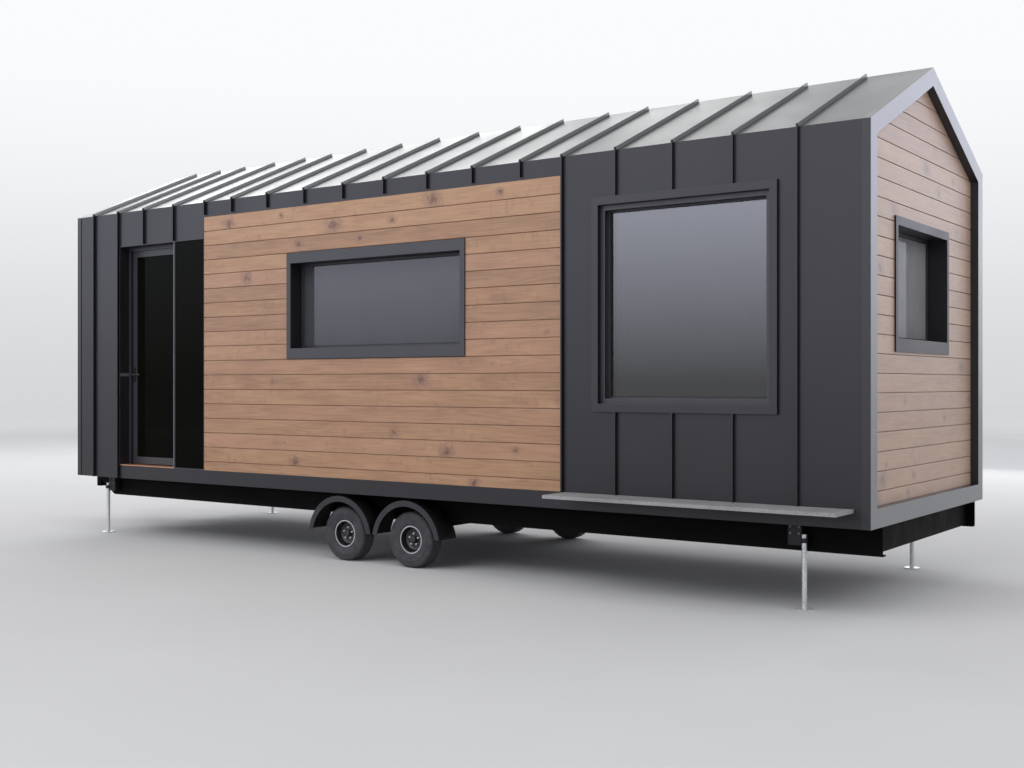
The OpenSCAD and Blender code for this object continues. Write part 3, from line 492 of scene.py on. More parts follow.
def portal_sheet():
    """The portals' sheet: the faces that look along the house a light metallic grey as a painted sheen on
    the dark metal, a smooth top like the roof and dark sides.
    """
    f = Finish("portal_sheet")
    along, _, up = f.facing()
    # Painted sheen: the faces that look along the house are a light metallic grey instead of the dark metal
    painted_sheen_ends = f.remap(along, 0.85, 0.95)
    cloud = f.noise(f.place, 2.0, 4.0)
    dark = f.mottle(cloud, ANTHRACITE, 0.86, 1.16)
    silver = f.mix(f.spread(cloud), (0.190, 0.193, 0.203), (0.228, 0.231, 0.242))
    f.colour(f.mix(painted_sheen_ends, dark, silver))
    f.feed(f.shader.inputs["Metallic"], f.times(painted_sheen_ends, 0.6))
    smoother = f.times(f.remap(up, 0.5, 0.8), ROOF_ROUGH - PORTAL_ROUGH)
    f.roughness(f.plus(f.spread(cloud, 0.34, 0.40), smoother))
    f.bump(f.noise(f.place, 2.0, 1.0), 0.04, 0.01)
    return f.material


REVEAL_DEPTH = 0.03
REVEAL_FADE = 0.005


def window_surround():
    """The large window's metal: sheet before the wall, a near black reveal that is painted shade, and frame
    paint further in.
    """
    f = Finish("window_surround")
    depth = f.minus(f.axes()[1], FRONT_Y)
    outward = f.facing()[1]
    cloud = f.noise(f.place, 2.5, 3.0)
    sheet = f.mottle(cloud, ANTHRACITE, 0.88, 1.14)
    paint = f.mottle(cloud, FRAME_PAINT, 0.9, 1.12)
    metal = f.mix(f.remap(depth, -0.001, 0.001), sheet, paint)
    # Painted shade: within REVEAL_DEPTH behind the wall, the faces that don't look out are near black
    before = f.remap(depth, REVEAL_DEPTH, REVEAL_DEPTH + REVEAL_FADE, 1.0, 0.0)
    reveal = f.times(f.remap(outward, 0.5, 0.8, 1.0, 0.0), before)
    f.colour(f.mix(reveal, metal, SHADOW_BLACK))
    f.roughness(f.spread(cloud, 0.38, 0.46))
    f.bump(f.noise(f.place, 2.0, 1.0), 0.04, 0.01)
    return f.material


def window_paint(name, side):
    """A box frame's satin paint outside, and a near black reveal behind the wall's face, which is painted
    shade.

    side is the axis that the window faces along: 0 on a gable, 1 on a side wall."""
    f = Finish(name)
    middle = (PORTAL_LOW[side] + PORTAL_HIGH[side]) / 2
    half = (PORTAL_HIGH[side] - PORTAL_LOW[side]) / 2
    out = f.calc("ABSOLUTE", f.minus(f.axes()[side], middle))
    cloud = f.noise(f.place, 3.0, 3.0)
    paint = f.mottle(cloud, FRAME_PAINT, 0.9, 1.12)
    # Painted shade: behind the wall's face, the faces that don't look out are near black
    behind = f.remap(out, half - 0.001, half, 1.0, 0.0)
    reveal = f.times(f.remap(f.facing()[side], 0.6, 0.9, 1.0, 0.0), behind)
    f.colour(f.mix(reveal, paint, PAINTED_REVEAL_SHADE))
    f.roughness(f.spread(cloud, 0.42, 0.50))
    f.bump(f.noise(f.place, 1400.0, 2.0), 0.08, 0.0006)
    return f.material


FINISH = {
    "lining": lining_boards(),
    "deck": deck_boards(),
    # The shell's seam sides are darkened as painted shade, and the roof's seam sides lightened as painted
    # light
    "shell": sheet_metal("seam_sheet", ANTHRACITE, 0.36, (0.3, 0.3), 0.42),
    "roof": sheet_metal("roof_sheet", (0.024, 0.026, 0.027), ROOF_ROUGH, (13.0, 5.5), 0.40, 0.1),
    "skirt": sheet_metal("skirt_sheet", (0.0085, 0.0078, 0.0106), 0.42, (1.0, 1.0), 0.42),
    "portal": portal_sheet(),
    "front_boards": oiled_boards("oiled_boards_side", "x", 0.0),
    # The gable boards are greyed as a painted sheen
    "gable_boards": oiled_boards("oiled_boards_gable", "y", 0.04, 0.27),
    "frame": powder_coat("powder_coat", FRAME_PAINT, 0.44),
    "side_frame": window_paint("side_frame_paint", 1),
    "gable_frame": window_paint("gable_frame_paint", 0),
    "surround": window_surround(),
    "big_glass": pane("tinted_glass", 1.95, 0.70, (0.014, 0.015, 0.016)),
    "strip_glass": pane("strip_glass", 1.46, 0.82, (0.068, 0.069, 0.078)),
    "gable_glass": pane("gable_glass", 1.14, 0.92, (0.228, 0.228, 0.240)),
    "entrance_glass": pane("entrance_glass", 1.07, 0.95, (0.0038, 0.0042, 0.0027)),
    "copper": brushed_copper(),
    # The chassis is black paint, made darker still as painted shade under the house
    "chassis": chassis_paint("chassis_paint", (0.0014, 0.0014, 0.0016), 0.6, 0.05),
    "bracket": chassis_paint("bracket_paint", (0.0085, 0.0085, 0.0095), 0.5, 0.3),
    "guard": guard_paint(),
    "galvanised": galvanised(),
    "stone": speckled_stone(),
    "handle": powder_coat("black_handle", (0.012, 0.012, 0.013), 0.34),
    "rubber": rubber(),
    "rim": rim_paint(),
    "gasket": powder_coat("gasket_rubber", (0.010, 0.010, 0.011), 0.7),
    "seal": chassis_paint("joint_seal", (0.0020, 0.0020, 0.0025), 0.7, 0.05),
    "plate": powder_coat("plate_metal", (0.085, 0.085, 0.090), 0.42),
    # A painted highlight on the front edge of the entrance post
    "painted_highlight_strip": powder_coat("painted_highlight_strip", (0.17, 0.17, 0.175), 0.4),
}

# The finish of each node that is shown as packed
WORN_BY = {
    "lining": ["front_wall_left", "front_wall_over_door", "front_wall_middle", "front_wall_right",
               "rear_wall", "right_gable_wall", "left_gable_wall", "roof_front", "roof_rear"],
    "deck": ["floor_deck"],
    "shell": ["front_metal", "rear_metal"],
    "roof": ["roof_metal_front", "roof_metal_rear"],
    "skirt": ["side_skirts"],
    "portal": ["portal_frames"],
    "side_frame": ["strip_window_frames", "door_frame"],
    "gable_frame": ["gable_window_frames"],
    "frame": ["door_leaf"],
    "surround": ["big_window_frame"],
    "entrance_glass": ["door_glass"],
    "copper": ["threshold"],
    "chassis": ["chassis_rails", "cross_members", "drawbar", "axles"],
    "guard": ["mudguards"],
    "bracket": ["leg_brackets"],
    "galvanised": ["coupling", "corner_legs"],
    "stone": ["ledge"],
    "handle": ["door_handle"],
    "rim": ["rim_lead_front", "rim_lead_rear", "rim_trail_front", "rim_trail_rear"],
}
for finish, names in WORN_BY.items():
    for name in names:
        for slot in NODES[name].material_slots:
            slot.material = FINISH[finish]


# Mesh making

def finished(bm, name, finish, body):
    """The mesh as a shown piece that rides on a body."""
    bmesh.ops.recalc_face_normals(bm, faces=bm.faces)
    mesh = bpy.data.meshes.new(name)
    bm.to_mesh(mesh)
    bm.free()
    mesh.materials.append(FINISH[finish])
    piece = bpy.data.objects.new(name, mesh)
    bpy.context.scene.collection.objects.link(piece)
    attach(piece, body)
    return piece


def prism(bm, outline, place, near, far):
    """A closed solid from an outline in (u, z), between two depths."""
    front = [bm.verts.new(place(u, z, near)) for u, z in outline]
    back = [bm.verts.new(place(u, z, far)) for u, z in outline]
    bm.faces.new(front)
    bm.faces.new(list(reversed(back)))
    for i in range(len(outline)):
        j = (i + 1) % len(outline)
        bm.faces.new([front[j], front[i], back[i], back[j]])


def rectangle(u0, u1, z0, z1):
    return [(u0, z0), (u1, z0), (u1, z1), (u0, z1)]


def polygon(u, z, radius, sides):
    """A regular outline round a point."""
    corners = []
    for k in range(sides):
        angle = 2 * math.pi * k / sides
        corners.append((u + radius * math.cos(angle), z + radius * math.sin(angle)))
    return corners


def ring(bm, place, u0, u1, z0, z1, width, near, far):
    """Four mitred bars round a rectangle, lying inside it."""
    outer = rectangle(u0, u1, z0, z1)
    inner = rectangle(u0 + width, u1 - width, z0 + width, z1 - width)
    for i in range(4):
        j = (i + 1) % 4
        prism(bm, [outer[i], outer[j], inner[j], inner[i]], place, near, far)


def facing_side(face_y, inward):
    """Places for work on a side wall or wheel: u along X, depth from the face, on Y's side inward."""
    return lambda u, z, depth: Vector((u, face_y + inward * depth, z))


def facing_gable(face_x, inward):
    """Places for work on a gable: u along Y, depth from the face, on X's side inward."""
    return lambda u, z, depth: Vector((face_x + inward * depth, u, z))


# Timber cladding

SIDE_PITCH = 0.130
GABLE_PITCH = 0.1261
GABLE_LINE_Z = 3.0517
BOARD_GAP = 0.0045
BOARD_T = 0.016
BOARD_ROUND = 0.0022


def strip_outlines(low, high, left_at, right_at, bends, hole):
    """The outlines of one board between two heights, cut round a window hole.

    left_at and right_at give the wall's edges at a height, and bends are heights where those turn.
    hole is (u0, u1, z0, z1)."""
    levels = [low, *sorted(z for z in bends if low < z < high), high]
    right = [(right_at(z), z) for z in levels]
    left = [(left_at(z), z) for z in reversed(levels)]
    u0, u1, z0, z1 = hole
    if high <= z0 or low >= z1:
        outline = right + left
        if abs(right[-1][0] - left[0][0]) < TINY:
            outline = right + left[1:]
        return [outline]
    if low >= z0 and high <= z1:
        return [rectangle(left_at(low), u0, low, high), rectangle(u1, right_at(low), low, high)]
    if low < z0:
        return [[(left_at(low), low), (right_at(low), low), (right_at(low), high), (u1, high), (u1, z0),
                 (u0, z0), (u0, high), (left_at(low), high)]]
    return [[(left_at(low), low), (u0, low), (u0, z1), (u1, z1), (u1, low), (right_at(low), low),
             (right_at(low), high), (left_at(low), high)]]


def cladding(name, place, levels, left_at, right_at, bends, hole, finish, node):
    """Boards between the levels, with open joints, in front of a closed backing.

    hole is as in strip_outlines. Each board has one draw for its looks."""
    bm = bmesh.new()
    draw_layer = bm.verts.layers.float.new("board")
    middle_layer = bm.verts.layers.float.new("middle")
    for low, high in zip(levels, levels[1:]):
        draw = DRAWS.random()
        bottom = low if low == levels[0] else low + BOARD_GAP / 2
        top = high if high == levels[-1] else high - BOARD_GAP / 2
        for outline in strip_outlines(bottom, top, left_at, right_at, bends, hole):
            first = len(bm.verts)
            prism(bm, outline, place, 0.0, BOARD_T)
            bm.verts.ensure_lookup_table()
            for vert in bm.verts[first:]:
                vert[draw_layer] = draw
                vert[middle_layer] = (low + high) / 2
    face_level = place(0.0, 0.0, 0.0)
    axis = 1 if abs(place(0.0, 0.0, 1.0)[1] - face_level[1]) > 0.5 else 0
    edges = [e for e in bm.edges
             if all(abs(v.co[axis] - face_level[axis]) < TINY for v in e.verts)
             and abs(e.verts[0].co.z - e.verts[1].co.z) < TINY]
    bmesh.ops.bevel(bm, geom=edges, offset=BOARD_ROUND, segments=2, profile=0.5, affect="EDGES",
                    clamp_overlap=True)
    u0, u1, z0, z1 = hole
    low, high = levels[0], levels[-1]
    turns = [z for z in bends if low < z < high]
    shoulder = turns[0] if turns else high
    backing = [rectangle(left_at(low), right_at(low), low, z0), rectangle(left_at(low), u0, z0, z1),
               rectangle(u1, right_at(low), z0, z1),
               rectangle(left_at(low), right_at(low), z1, shoulder)]
    if turns:
        peak = (right_at(high), high)
        backing.append([(left_at(shoulder), shoulder), (right_at(shoulder), shoulder), peak])
    for outline in backing:
        prism(bm, outline, place, BOARD_T, CLAD_T)
    piece = finished(bm, name, finish, "house")
    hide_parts(*([node] if node else []))


def side_levels(low, high):
    """Board edges on a side wall: whole boards from the top, the last one cut at the bottom."""
    count = int((high - low) / SIDE_PITCH)
    return [low, *[high - SIDE_PITCH * k for k in range(count, -1, -1)]]


strip_hole = (STRIP_LOW.x - FIT_GAP, STRIP_HIGH.x + FIT_GAP, STRIP_LOW.z - FIT_GAP,
              STRIP_HIGH.z + FIT_GAP)
levels = side_levels(FRONT_WOOD_LOW.z, FRONT_WOOD_HIGH.z)
for name, node, place in (
        ("front_boards", "front_wood", facing_side(FRONT_WOOD_LOW.y, 1)),
        ("rear_boards", "rear_wood", facing_side(REAR_WOOD_HIGH.y, -1))):
    wood_low, wood_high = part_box(node)
    cladding(name, place, levels, lambda z, x=wood_low.x: x, lambda z, x=wood_high.x: x, [], strip_hole,
             "front_boards", node)

# Where a gable's timber turns from upright to the slope of the roof
GABLE_TURN_Z = GABLE_WOOD_HIGH.z - (MIDDLE_Y - GABLE_WOOD_LOW.y) * ROOF_FALL


def gable_half(z):
    """Half the width of the gable timber at a height."""
    full = MIDDLE_Y - GABLE_WOOD_LOW.y
    if z <= GABLE_TURN_Z:
        return full
    return max(0.0, (GABLE_WOOD_HIGH.z - z) / ROOF_FALL)


def gable_levels():
    """Board edges on a gable, in step with one measured joint, from the floor to the peak."""
    first = math.ceil((GABLE_WOOD_LOW.z - GABLE_LINE_Z) / GABLE_PITCH)
    last = math.floor((GABLE_WOOD_HIGH.z - GABLE_LINE_Z) / GABLE_PITCH)
    joints = [GABLE_LINE_Z + GABLE_PITCH * k for k in range(first, last + 1)]
    return [GABLE_WOOD_LOW.z, *joints, GABLE_WOOD_HIGH.z]


gable_hole = (GABLE_WIN_LOW.y - FIT_GAP, GABLE_WIN_HIGH.y + FIT_GAP, GABLE_WIN_LOW.z - FIT_GAP,
              GABLE_WIN_HIGH.z + FIT_GAP)
for name, place in (
        ("right_gable_boards", facing_gable(GABLE_WOOD_HIGH.x, -1)),
        ("left_gable_boards", facing_gable(GABLE_WOOD_LOW.x, 1))):
    cladding(name, place, gable_levels(), lambda z: MIDDLE_Y - gable_half(z),
             lambda z: MIDDLE_Y + gable_half(z), [GABLE_TURN_Z], gable_hole, "gable_boards",
             "gable_wood" if name == "right_gable_boards" else None)


# Windows

GASKET_W = 0.006
GASKET_T = 0.004
PANE_T = 0.024
PANE_ROUND = 0.0012
SIDELIGHT = {"left": -1.9360, "right": -1.5410, "bottom": 0.6970, "top": 2.7810, "depth": 0.006}

FRONT_FACE = facing_side(FRONT_Y, 1)
REAR_FACE = facing_side(REAR_Y, -1)
RIGHT_FACE = facing_gable(PORTAL_HIGH.x, -1)
LEFT_FACE = facing_gable(PORTAL_LOW.x, 1)

# The width of each window's frame at its sides, foot and head, and its pane's depth from the portal's face
STRIP_FRAME = {"side": 0.064, "foot": 0.108, "head": 0.108, "depth": 0.133}
GABLE_FRAME = {"side": 0.064, "foot": 0.108, "head": 0.078, "depth": 0.200}
BIG_FRAME = {"side": 0.100, "foot": 0.105, "head": 0.105, "depth": 0.075}


def inside(low, high, axis, frame_size):
    """A pane's edges along the wall, bottom, top and depth, inside its frame's box."""
    return (low[axis] + frame_size["side"], high[axis] - frame_size["side"],
            low.z + frame_size["foot"], high.z - frame_size["head"], frame_size["depth"])


strip_pane = inside(STRIP_LOW, STRIP_HIGH, 0, STRIP_FRAME)
gable_pane = inside(GABLE_WIN_LOW, GABLE_WIN_HIGH, 1, GABLE_FRAME)
big_pane = inside(BIG_LOW, BIG_HIGH, 0, BIG_FRAME)

# Each fixed pane: its name, places, edges along the wall, bottom, top, depth and finish
PANES = [
    ("strip_pane_front", FRONT_FACE, *strip_pane, "strip_glass"),
    ("strip_pane_rear", REAR_FACE, *strip_pane, "strip_glass"),
    ("gable_pane_right", RIGHT_FACE, *gable_pane, "gable_glass"),
    ("gable_pane_left", LEFT_FACE, *gable_pane, "gable_glass"),
    ("large_pane", FRONT_FACE, *big_pane, "big_glass"),
    ("sidelight_pane", FRONT_FACE, SIDELIGHT["left"], SIDELIGHT["right"], SIDELIGHT["bottom"],
     SIDELIGHT["top"], SIDELIGHT["depth"], "entrance_glass"),
]


def panes():
    """The sealed panes, each a thick sheet with its arrises taken off."""
    for name, place, left, right, bottom, top, depth, finish in PANES:
        bm = bmesh.new()
        sheet = rectangle(left + FIT_GAP, right - FIT_GAP, bottom + FIT_GAP, top - FIT_GAP)
        prism(bm, sheet, place, depth, depth + PANE_T)
        bmesh.ops.bevel(bm, geom=bm.edges[:], offset=PANE_ROUND, segments=1, affect="EDGES")
        piece = finished(bm, name, finish, "house")
        if name == "large_pane":
            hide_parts("window_glass")


def gaskets():
    """A black rubber lip round the outer face of each pane that is set in a frame."""
    bm = bmesh.new()
    for name, place, left, right, bottom, top, depth, finish in PANES:
        if name != "sidelight_pane":
            ring(bm, place, left, right, bottom, top, GASKET_W, depth - GASKET_T, depth - FIT_GAP)
    finished(bm, "window_gaskets", "gasket", "house")


panes()
gaskets()


# Seal between the shell and the portal at the drawbar end

SEAL_W = 0.009
SEAL_PROUD = 0.0015
SEAL_BELOW_EAVE = 0.012


def corner_seals():
    """A black sealed joint up each side wall, where the sheet meets the portal."""
    bm = bmesh.new()
    sheet_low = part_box("front_metal")[0]
    upright = rectangle(sheet_low.x - SEAL_W / 2, sheet_low.x + SEAL_W / 2, sheet_low.z,
                        EAVE_Z - SEAL_BELOW_EAVE)
    for place in (FRONT_FACE, REAR_FACE):
        prism(bm, upright, place, -SEAL_PROUD, 0.0)
    finished(bm, "corner_seals", "seal", "house")


corner_seals()


# Entrance hardware

KEEP_FROM_EDGE = 0.008
KEEP_T = 0.003
KEEP_Z = (1.545, 1.575)
KEEP_DEPTH = (0.002, 0.104)
POST_LEFT = -1.956
POST_STRIP_W = 0.006
POST_STRIP_PROUD = 0.004
POST_STRIP_INSET = 0.010
POST_STRIP_ROUND = 0.001


def keep_plate():
    """The keep plate across the reveal beside the lever."""
    bm = bmesh.new()
    left = DOOR_LOW.x + KEEP_FROM_EDGE
    prism(bm, rectangle(left, left + KEEP_T, *KEEP_Z), FRONT_FACE, *KEEP_DEPTH)
    finished(bm, "keep_plate", "plate", "house")


def post_highlight():
    """A thin light grey strip on the post's front edge between the door and the sidelight, a painted
    highlight.
    """
    bm = bmesh.new()
    foot = DOOR_LOW.z + POST_STRIP_INSET
    head = DOOR_HIGH.z - POST_STRIP_INSET
    strip = rectangle(POST_LEFT, POST_LEFT + POST_STRIP_W, foot, head)
    prism(bm, strip, FRONT_FACE, -POST_STRIP_PROUD, 0.0)
    bmesh.ops.bevel(bm, geom=bm.edges[:], offset=POST_STRIP_ROUND, segments=1, affect="EDGES")
    finished(bm, "post_painted_highlight", "painted_highlight_strip", "house")


keep_plate()
post_highlight()


# Bolts of the leg brackets

FOOT_R = 0.060
BRACKET_FROM_LEG = 0.0645
BRACKET_FACE = 0.004
BOLT_R = 0.009
BOLT_HEAD = 0.0065
BOLT_APART = (0.030, 0.022)
BOLTS_ABOVE_MIDDLE = 0.025


def bracket_bolts():
    """Four hexagon heads on the plate of each leg bracket."""
    bm = bmesh.new()
    low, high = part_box("corner_legs")
    bracket_low, bracket_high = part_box("leg_brackets")
    middle_z = (bracket_low.z + bracket_high.z) / 2 + BOLTS_ABOVE_MIDDLE
    for leg_y, inward in ((low.y + FOOT_R, 1), (high.y - FOOT_R, -1)):
        place = facing_side(leg_y - inward * BRACKET_FACE, inward)
        for middle_x in (low.x + FOOT_R + BRACKET_FROM_LEG, high.x - FOOT_R - BRACKET_FROM_LEG):
            for across in (-BOLT_APART[0], BOLT_APART[0]):
                for up in (-BOLT_APART[1], BOLT_APART[1]):
                    head = polygon(middle_x + across, middle_z + up, BOLT_R, 6)
                    prism(bm, head, place, -BOLT_HEAD, 0.0)
    finished(bm, "bracket_bolts", "plate", "house")


bracket_bolts()


# Wheels

def lathe(bm, profile, centre, steps, sink):
    """A closed profile of (radius, y) points turned round a wheel's axis.

    sink gives how far a point of the profile is let in at a step."""
    rows = []
    for k in range(steps):
        angle = 2 * math.pi * k / steps
        row = []
        for index, (radius, y) in enumerate(profile):
            r = radius - sink(k, index)
            spot = (centre.x + r * math.cos(angle), centre.y + y, centre.z + r * math.sin(angle))
            row.append(bm.verts.new(spot))
        rows.append(row)
    count = len(profile)
    for k in range(steps):
        here, after = rows[k], rows[(k + 1) % steps]
        for i in range(count):
            j = (i + 1) % count
            bm.faces.new([here[i], here[j], after[j], after[i]])


# The tyre's section: bead, flank, rib, shoulder and grooves. The flank's and the shoulder's steps are in
# degrees. RIB gives its points' height over the widest place, and how far they lie inside the flank.
RIM_LIP_R = 0.1125
BEAD_Y = 0.0542
BEAD_UNDER_LIP = 0.0095
FLANK_IN = 0.001
FLANK_STEP = 18
RIB = ((0.002, 0.0), (0.008, 0.0), (0.010, 0.0015))
SHOULDER_R = 0.026
SHOULDER_IN = 0.002
SHOULDER_STEP = 20
GROOVES_Y = (0.034, 0.012)
GROOVE_HALF = 0.004
GROOVE_D = 0.007
GROOVE_SLOPE = 0.001

# The tyre's steps round its axis, and the notches across its shoulders
TYRE_STEPS = 144
NOTCH_EVERY = 4
NOTCH_D = 0.005
NOTCH_FROM_Y = 0.038
NOTCH_BELOW_CROWN = 0.02


def tyre_profile(outer, half):
    """Section of a tyre: bead, bulging flank with a rib, rounded shoulder and a grooved crown."""
    bead_r = RIM_LIP_R - BEAD_UNDER_LIP
    widest = (outer + bead_r) / 2
    side = [(bead_r, BEAD_Y), (RIM_LIP_R, BEAD_Y)]
    for k in range(1, 6):
        angle = math.radians(FLANK_STEP * k)
        side.append((widest - (widest - RIM_LIP_R) * math.cos(angle),
                     BEAD_Y + (half - FLANK_IN - BEAD_Y) * math.sin(angle)))
    side += [(widest + rise, half - inward) for rise, inward in RIB]
    for k in range(5):
        angle = math.radians(SHOULDER_STEP * k)
        side.append((outer - SHOULDER_R * (1 - math.sin(angle)),
                     half - SHOULDER_IN - SHOULDER_R * (1 - math.cos(angle))))
    tread = []
    for middle in GROOVES_Y:
        tread += [(outer, middle + GROOVE_HALF),
                  (outer - GROOVE_D, middle + GROOVE_HALF - GROOVE_SLOPE),
                  (outer - GROOVE_D, middle - GROOVE_HALF + GROOVE_SLOPE),
                  (outer, middle - GROOVE_HALF)]
    right = side + tread
    left = [(radius, -y) for radius, y in reversed(right)]
    return right + left


def tyre(name, node, body):
    """A tyre with notches across its shoulders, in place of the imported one."""
    low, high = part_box(node)
    centre = (low + high) / 2
    outer = (high.z - low.z) / 2
    half = (high.y - low.y) / 2
    profile = tyre_profile(outer, half)
    shoulder = [i for i, (radius, y) in enumerate(profile)
                if abs(y) > NOTCH_FROM_Y and radius > outer - NOTCH_BELOW_CROWN]
    bm = bmesh.new()
    lathe(bm, profile, centre, TYRE_STEPS,
          lambda k, i: NOTCH_D if i in shoulder and k % NOTCH_EVERY == 0 else 0.0)
    piece = finished(bm, name, "rubber", body)
    for face in piece.data.polygons:
        face.use_smooth = True
    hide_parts(node)


NUT_COUNT = 5
NUT_CIRCLE = 0.046
NUT_TURN = 0.3
NUT_R = 0.0085
NUT_H = 0.012
STUD_R = 0.005
STUD_H = 0.019
DISC_Y = 0.0105


def wheel_nuts(name, node, body, outward):
    """Five nuts on their studs, on the flat of a rim's disc."""
    low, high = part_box(node)
    centre = (low + high) / 2
    place = facing_side(centre.y, outward)
    bm = bmesh.new()
    for k in range(NUT_COUNT):
        angle = 2 * math.pi * k / NUT_COUNT + NUT_TURN
        x = centre.x + NUT_CIRCLE * math.cos(angle)
        z = centre.z + NUT_CIRCLE * math.sin(angle)
        for radius, height, sides in ((NUT_R, NUT_H, 6), (STUD_R, STUD_H, 12)):
            prism(bm, polygon(x, z, radius, sides), place, DISC_Y, DISC_Y + height)
    finished(bm, name, "galvanised", body)


for axle in ("lead", "trail"):
    for side, outward in (("front", -1), ("rear", 1)):
        body = f"wheel_{axle}_{side}"
        tyre(f"tread_tyre_{axle}_{side}", f"tyre_{axle}_{side}", body)
        wheel_nuts(f"wheel_nuts_{axle}_{side}", f"tyre_{axle}_{side}", body, outward)


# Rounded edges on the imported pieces, so that they catch the light

WELD_WITHIN = 0.00005
ROUND_FROM_ANGLE = 50
EDGE_ROUND = {
    "portal_frames": 0.0007, "side_skirts": 0.002, "front_metal": 0.0006, "rear_metal": 0.0006,
    "roof_metal_front": 0.002, "roof_metal_rear": 0.002, "strip_window_frames": 0.0018,
    "big_window_frame": 0.0012, "gable_window_frames": 0.0018, "door_frame": 0.001, "door_leaf": 0.0015,
    "ledge": 0.003, "chassis_rails": 0.0025, "cross_members": 0.002, "drawbar": 0.003,
    "mudguards": 0.0015, "leg_brackets": 0.0015, "threshold": 0.001,
}
for name, size in EDGE_ROUND.items():
    weld = NODES[name].modifiers.new("weld", "WELD")
    weld.merge_threshold = WELD_WITHIN
    bevel = NODES[name].modifiers.new("edge_round", "BEVEL")
    bevel.width = size
    bevel.segments = 2
    bevel.limit_method = "ANGLE"
    bevel.angle_limit = math.radians(ROUND_FROM_ANGLE)
    bevel.use_clamp_overlap = True
    bevel.harden_normals = False


# Stage, light and camera

COOL = (0.88, 0.91, 1.14)
FLOOR_NEAR = 0.56
FLOOR_FAR = 0.94
FLOOR_R = 90.0
FLOOR_SIDES = 96
FLOOR_FADE = (6.0, 40.0)
FLOOR_BELOW = 0.0005
HORIZON = 0.68
ZENITH = 0.98
# Between these shares of straight up the seen sky goes from HORIZON to ZENITH, and it lights at SKY_LIGHT
HORIZON_RISE = (-0.04, 0.26)
SKY_COLOUR = (0.972, 0.984, 1.0, 1.0)
SKY_LIGHT = 0.72


def stage():
    """A wide pale floor that grows lighter away from the house and meets the pale surroundings."""
    bm = bmesh.new()
    bmesh.ops.create_circle(bm, cap_ends=True, segments=FLOOR_SIDES, radius=FLOOR_R)
    mesh = bpy.data.meshes.new("floor")
    bm.to_mesh(mesh)
    bm.free()
    floor = bpy.data.objects.new("floor", mesh)
    floor.location.z = CAD_BOX[0][2] - FLOOR_BELOW
    bpy.context.scene.collection.objects.link(floor)
    f = Finish("pale_floor", Roughness=0.9)
    f.shader.inputs["Specular IOR Level"].default_value = 0.0
    tone = f.remap(f.length(f.place), *FLOOR_FADE, FLOOR_NEAR, FLOOR_FAR, smooth=True)
    tone = f.times(tone, f.spread(f.noise(f.place, 0.6, 4.0), 0.98, 1.02))
    f.colour(f.vector(tone, tone, f.times(tone, 1.01)))
    mesh.materials.append(f.material)


def surroundings():
    """A pale sky, lighter upwards where it is seen directly or mirrored, and even where it lights."""
    world = bpy.data.worlds.new("pale_sky")
    bpy.context.scene.world = world
    world.use_nodes = True
    tree = world.node_tree
    sky = tree.nodes["Background"]
    sky.inputs["Color"].default_value = SKY_COLOUR
    path = tree.nodes.new("ShaderNodeLightPath")
    seen = path.outputs["Is Camera Ray"]
    for name in ("Is Glossy Ray", "Is Transmission Ray"):
        both = tree.nodes.new("ShaderNodeMath")
        both.operation = "MAXIMUM"
        tree.links.new(seen, both.inputs[0])
        tree.links.new(path.outputs[name], both.inputs[1])
        seen = both.outputs[0]
    split = tree.nodes.new("ShaderNodeSeparateXYZ")
    tree.links.new(tree.nodes.new("ShaderNodeTexCoord").outputs["Generated"], split.inputs[0])
    shown = tree.nodes.new("ShaderNodeMapRange")
    shown.interpolation_type = "SMOOTHSTEP"
    for socket, value in (("From Min", HORIZON_RISE[0]), ("From Max", HORIZON_RISE[1]),
                          ("To Min", HORIZON), ("To Max", ZENITH)):
        shown.inputs[socket].default_value = value
    tree.links.new(split.outputs[2], shown.inputs["Value"])
    strength = tree.nodes.new("ShaderNodeMapRange")
    strength.inputs["To Min"].default_value = SKY_LIGHT
    tree.links.new(shown.outputs[0], strength.inputs["To Max"])
    tree.links.new(seen, strength.inputs["Value"])
    tree.links.new(strength.outputs[0], sky.inputs["Strength"])


def softbox(name, place, target, width, height, radiance, graded=False, colour=(1.0, 1.0, 1.0)):
    """A large soft lamp of a given radiance. A graded one is dark at its foot and twice that at its top."""
    data = bpy.data.lights.new(name, "AREA")
    data.shape = "RECTANGLE"
    data.size = width
    data.size_y = height
    data.energy = radiance * math.pi * width * height
    data.color = colour
    if graded:
        data.use_nodes = True
        tree = data.node_tree
        split = tree.nodes.new("ShaderNodeSeparateXYZ")
        geometry = tree.nodes.new("ShaderNodeNewGeometry")
        tree.links.new(geometry.outputs["Parametric"], split.inputs[0])
        rise = tree.nodes.new("ShaderNodeMapRange")
        rise.inputs["To Max"].default_value = 2.0
        tree.links.new(split.outputs[1], rise.inputs["Value"])
        tree.links.new(rise.outputs[0], tree.nodes["Emission"].inputs["Strength"])
    lamp = bpy.data.objects.new(name, data)
    bpy.context.scene.collection.objects.link(lamp)
    lamp.location = place
    lamp.rotation_euler = (Vector(target) - Vector(place)).to_track_quat("-Z", "Y").to_euler()
    lamp.visible_camera = False


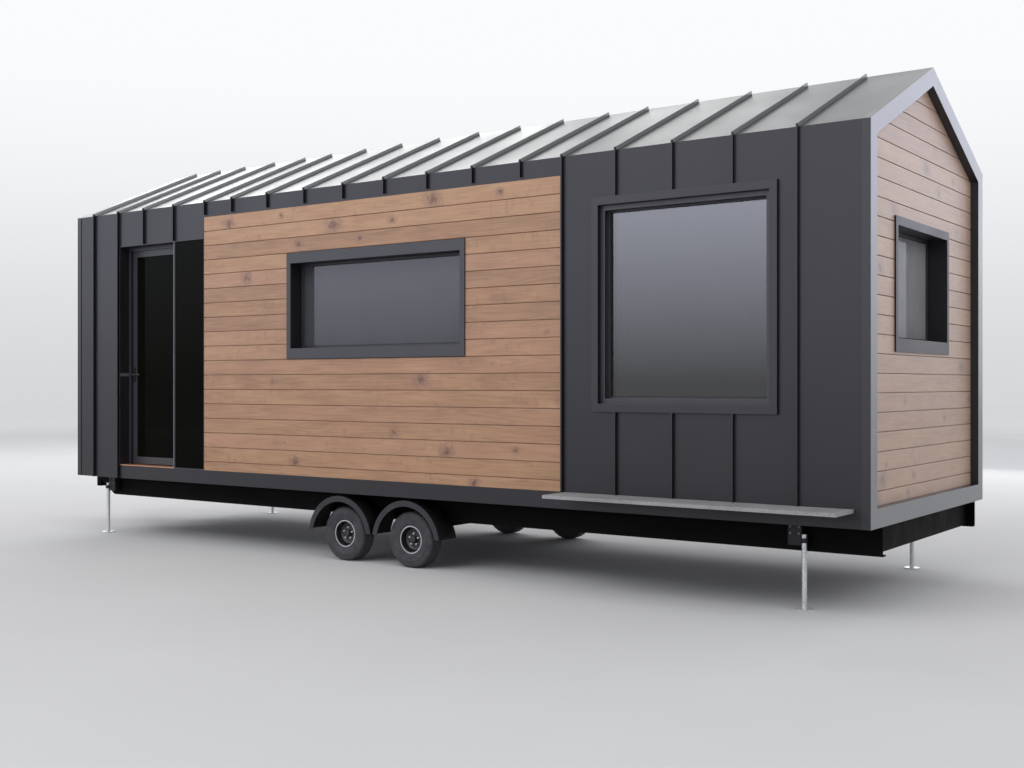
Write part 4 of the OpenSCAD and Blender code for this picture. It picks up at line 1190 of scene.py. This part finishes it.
# The camera, with its place counted from the front corner of the portal at the window end
FILM_WIDTH = 36.0
LENS = 43.4
SEEN_TO = 300.0
EYE_BEYOND_END = 2.623
EYE_BEFORE_FRONT = 7.489
EYE_Z = 1.47
EYE_TURN = 35.51


def camera():
    """The photograph's viewpoint: a level camera off the window end of the entrance side."""
    data = bpy.data.cameras.new("camera")
    data.sensor_width = FILM_WIDTH
    data.lens = LENS
    data.clip_end = SEEN_TO
    eye = bpy.data.objects.new("camera", data)
    bpy.context.scene.collection.objects.link(eye)
    eye.location = (PORTAL_HIGH.x + EYE_BEYOND_END, FRONT_Y - EYE_BEFORE_FRONT, EYE_Z)
    eye.rotation_euler = (math.radians(90), 0.0, math.radians(EYE_TURN))
    bpy.context.scene.camera = eye


stage()
surroundings()

# Each lamp: its name, place, target, width, height and radiance
softbox("key_front", (-1.0, -10.5, 10.5), (-0.5, 0.0, 1.7), 14.0, 7.0, 2.2)
softbox("key_right", (14.0, -3.0, 8.0), (4.6, 0.0, 2.0), 8.0, 6.0, 2.2)
softbox("fill_rear", (0.5, 11.5, 9.0), (0.0, 0.0, 1.7), 12.0, 6.0, 1.2)
softbox("fill_rear_low", (0.5, 13.5, 3.2), (0.0, 0.0, 1.7), 14.0, 4.0, 1.4)
softbox("fill_left", (-14.0, -1.0, 8.0), (-3.4, 0.0, 2.0), 7.0, 6.0, 1.6)
softbox("glow_front", (-12.0, -27.0, 5.2), (0.0, 0.0, 2.0), 44.0, 7.4, 1.8, graded=True,
        colour=COOL)
softbox("glow_gable", (11.0, 19.0, 5.6), (4.6, 0.0, 2.4), 12.0, 8.0, 1.1, graded=True,
        colour=COOL)
softbox("sheen_roof", (-15.0, 12.6, 12.6), (-0.2, -0.5, 3.4), 11.0, 6.0, 4.2)
softbox("sheen_roof_middle", (-8.0, 15.5, 13.0), (1.5, -0.5, 3.4), 7.0, 6.0, 1.6)
softbox("sheen_roof_far", (-15.5, 6.9, 8.6), (-3.4, -0.6, 3.4), 5.0, 4.0, 2.2)
camera()

bpy.context.scene.view_settings.view_transform = "Standard"
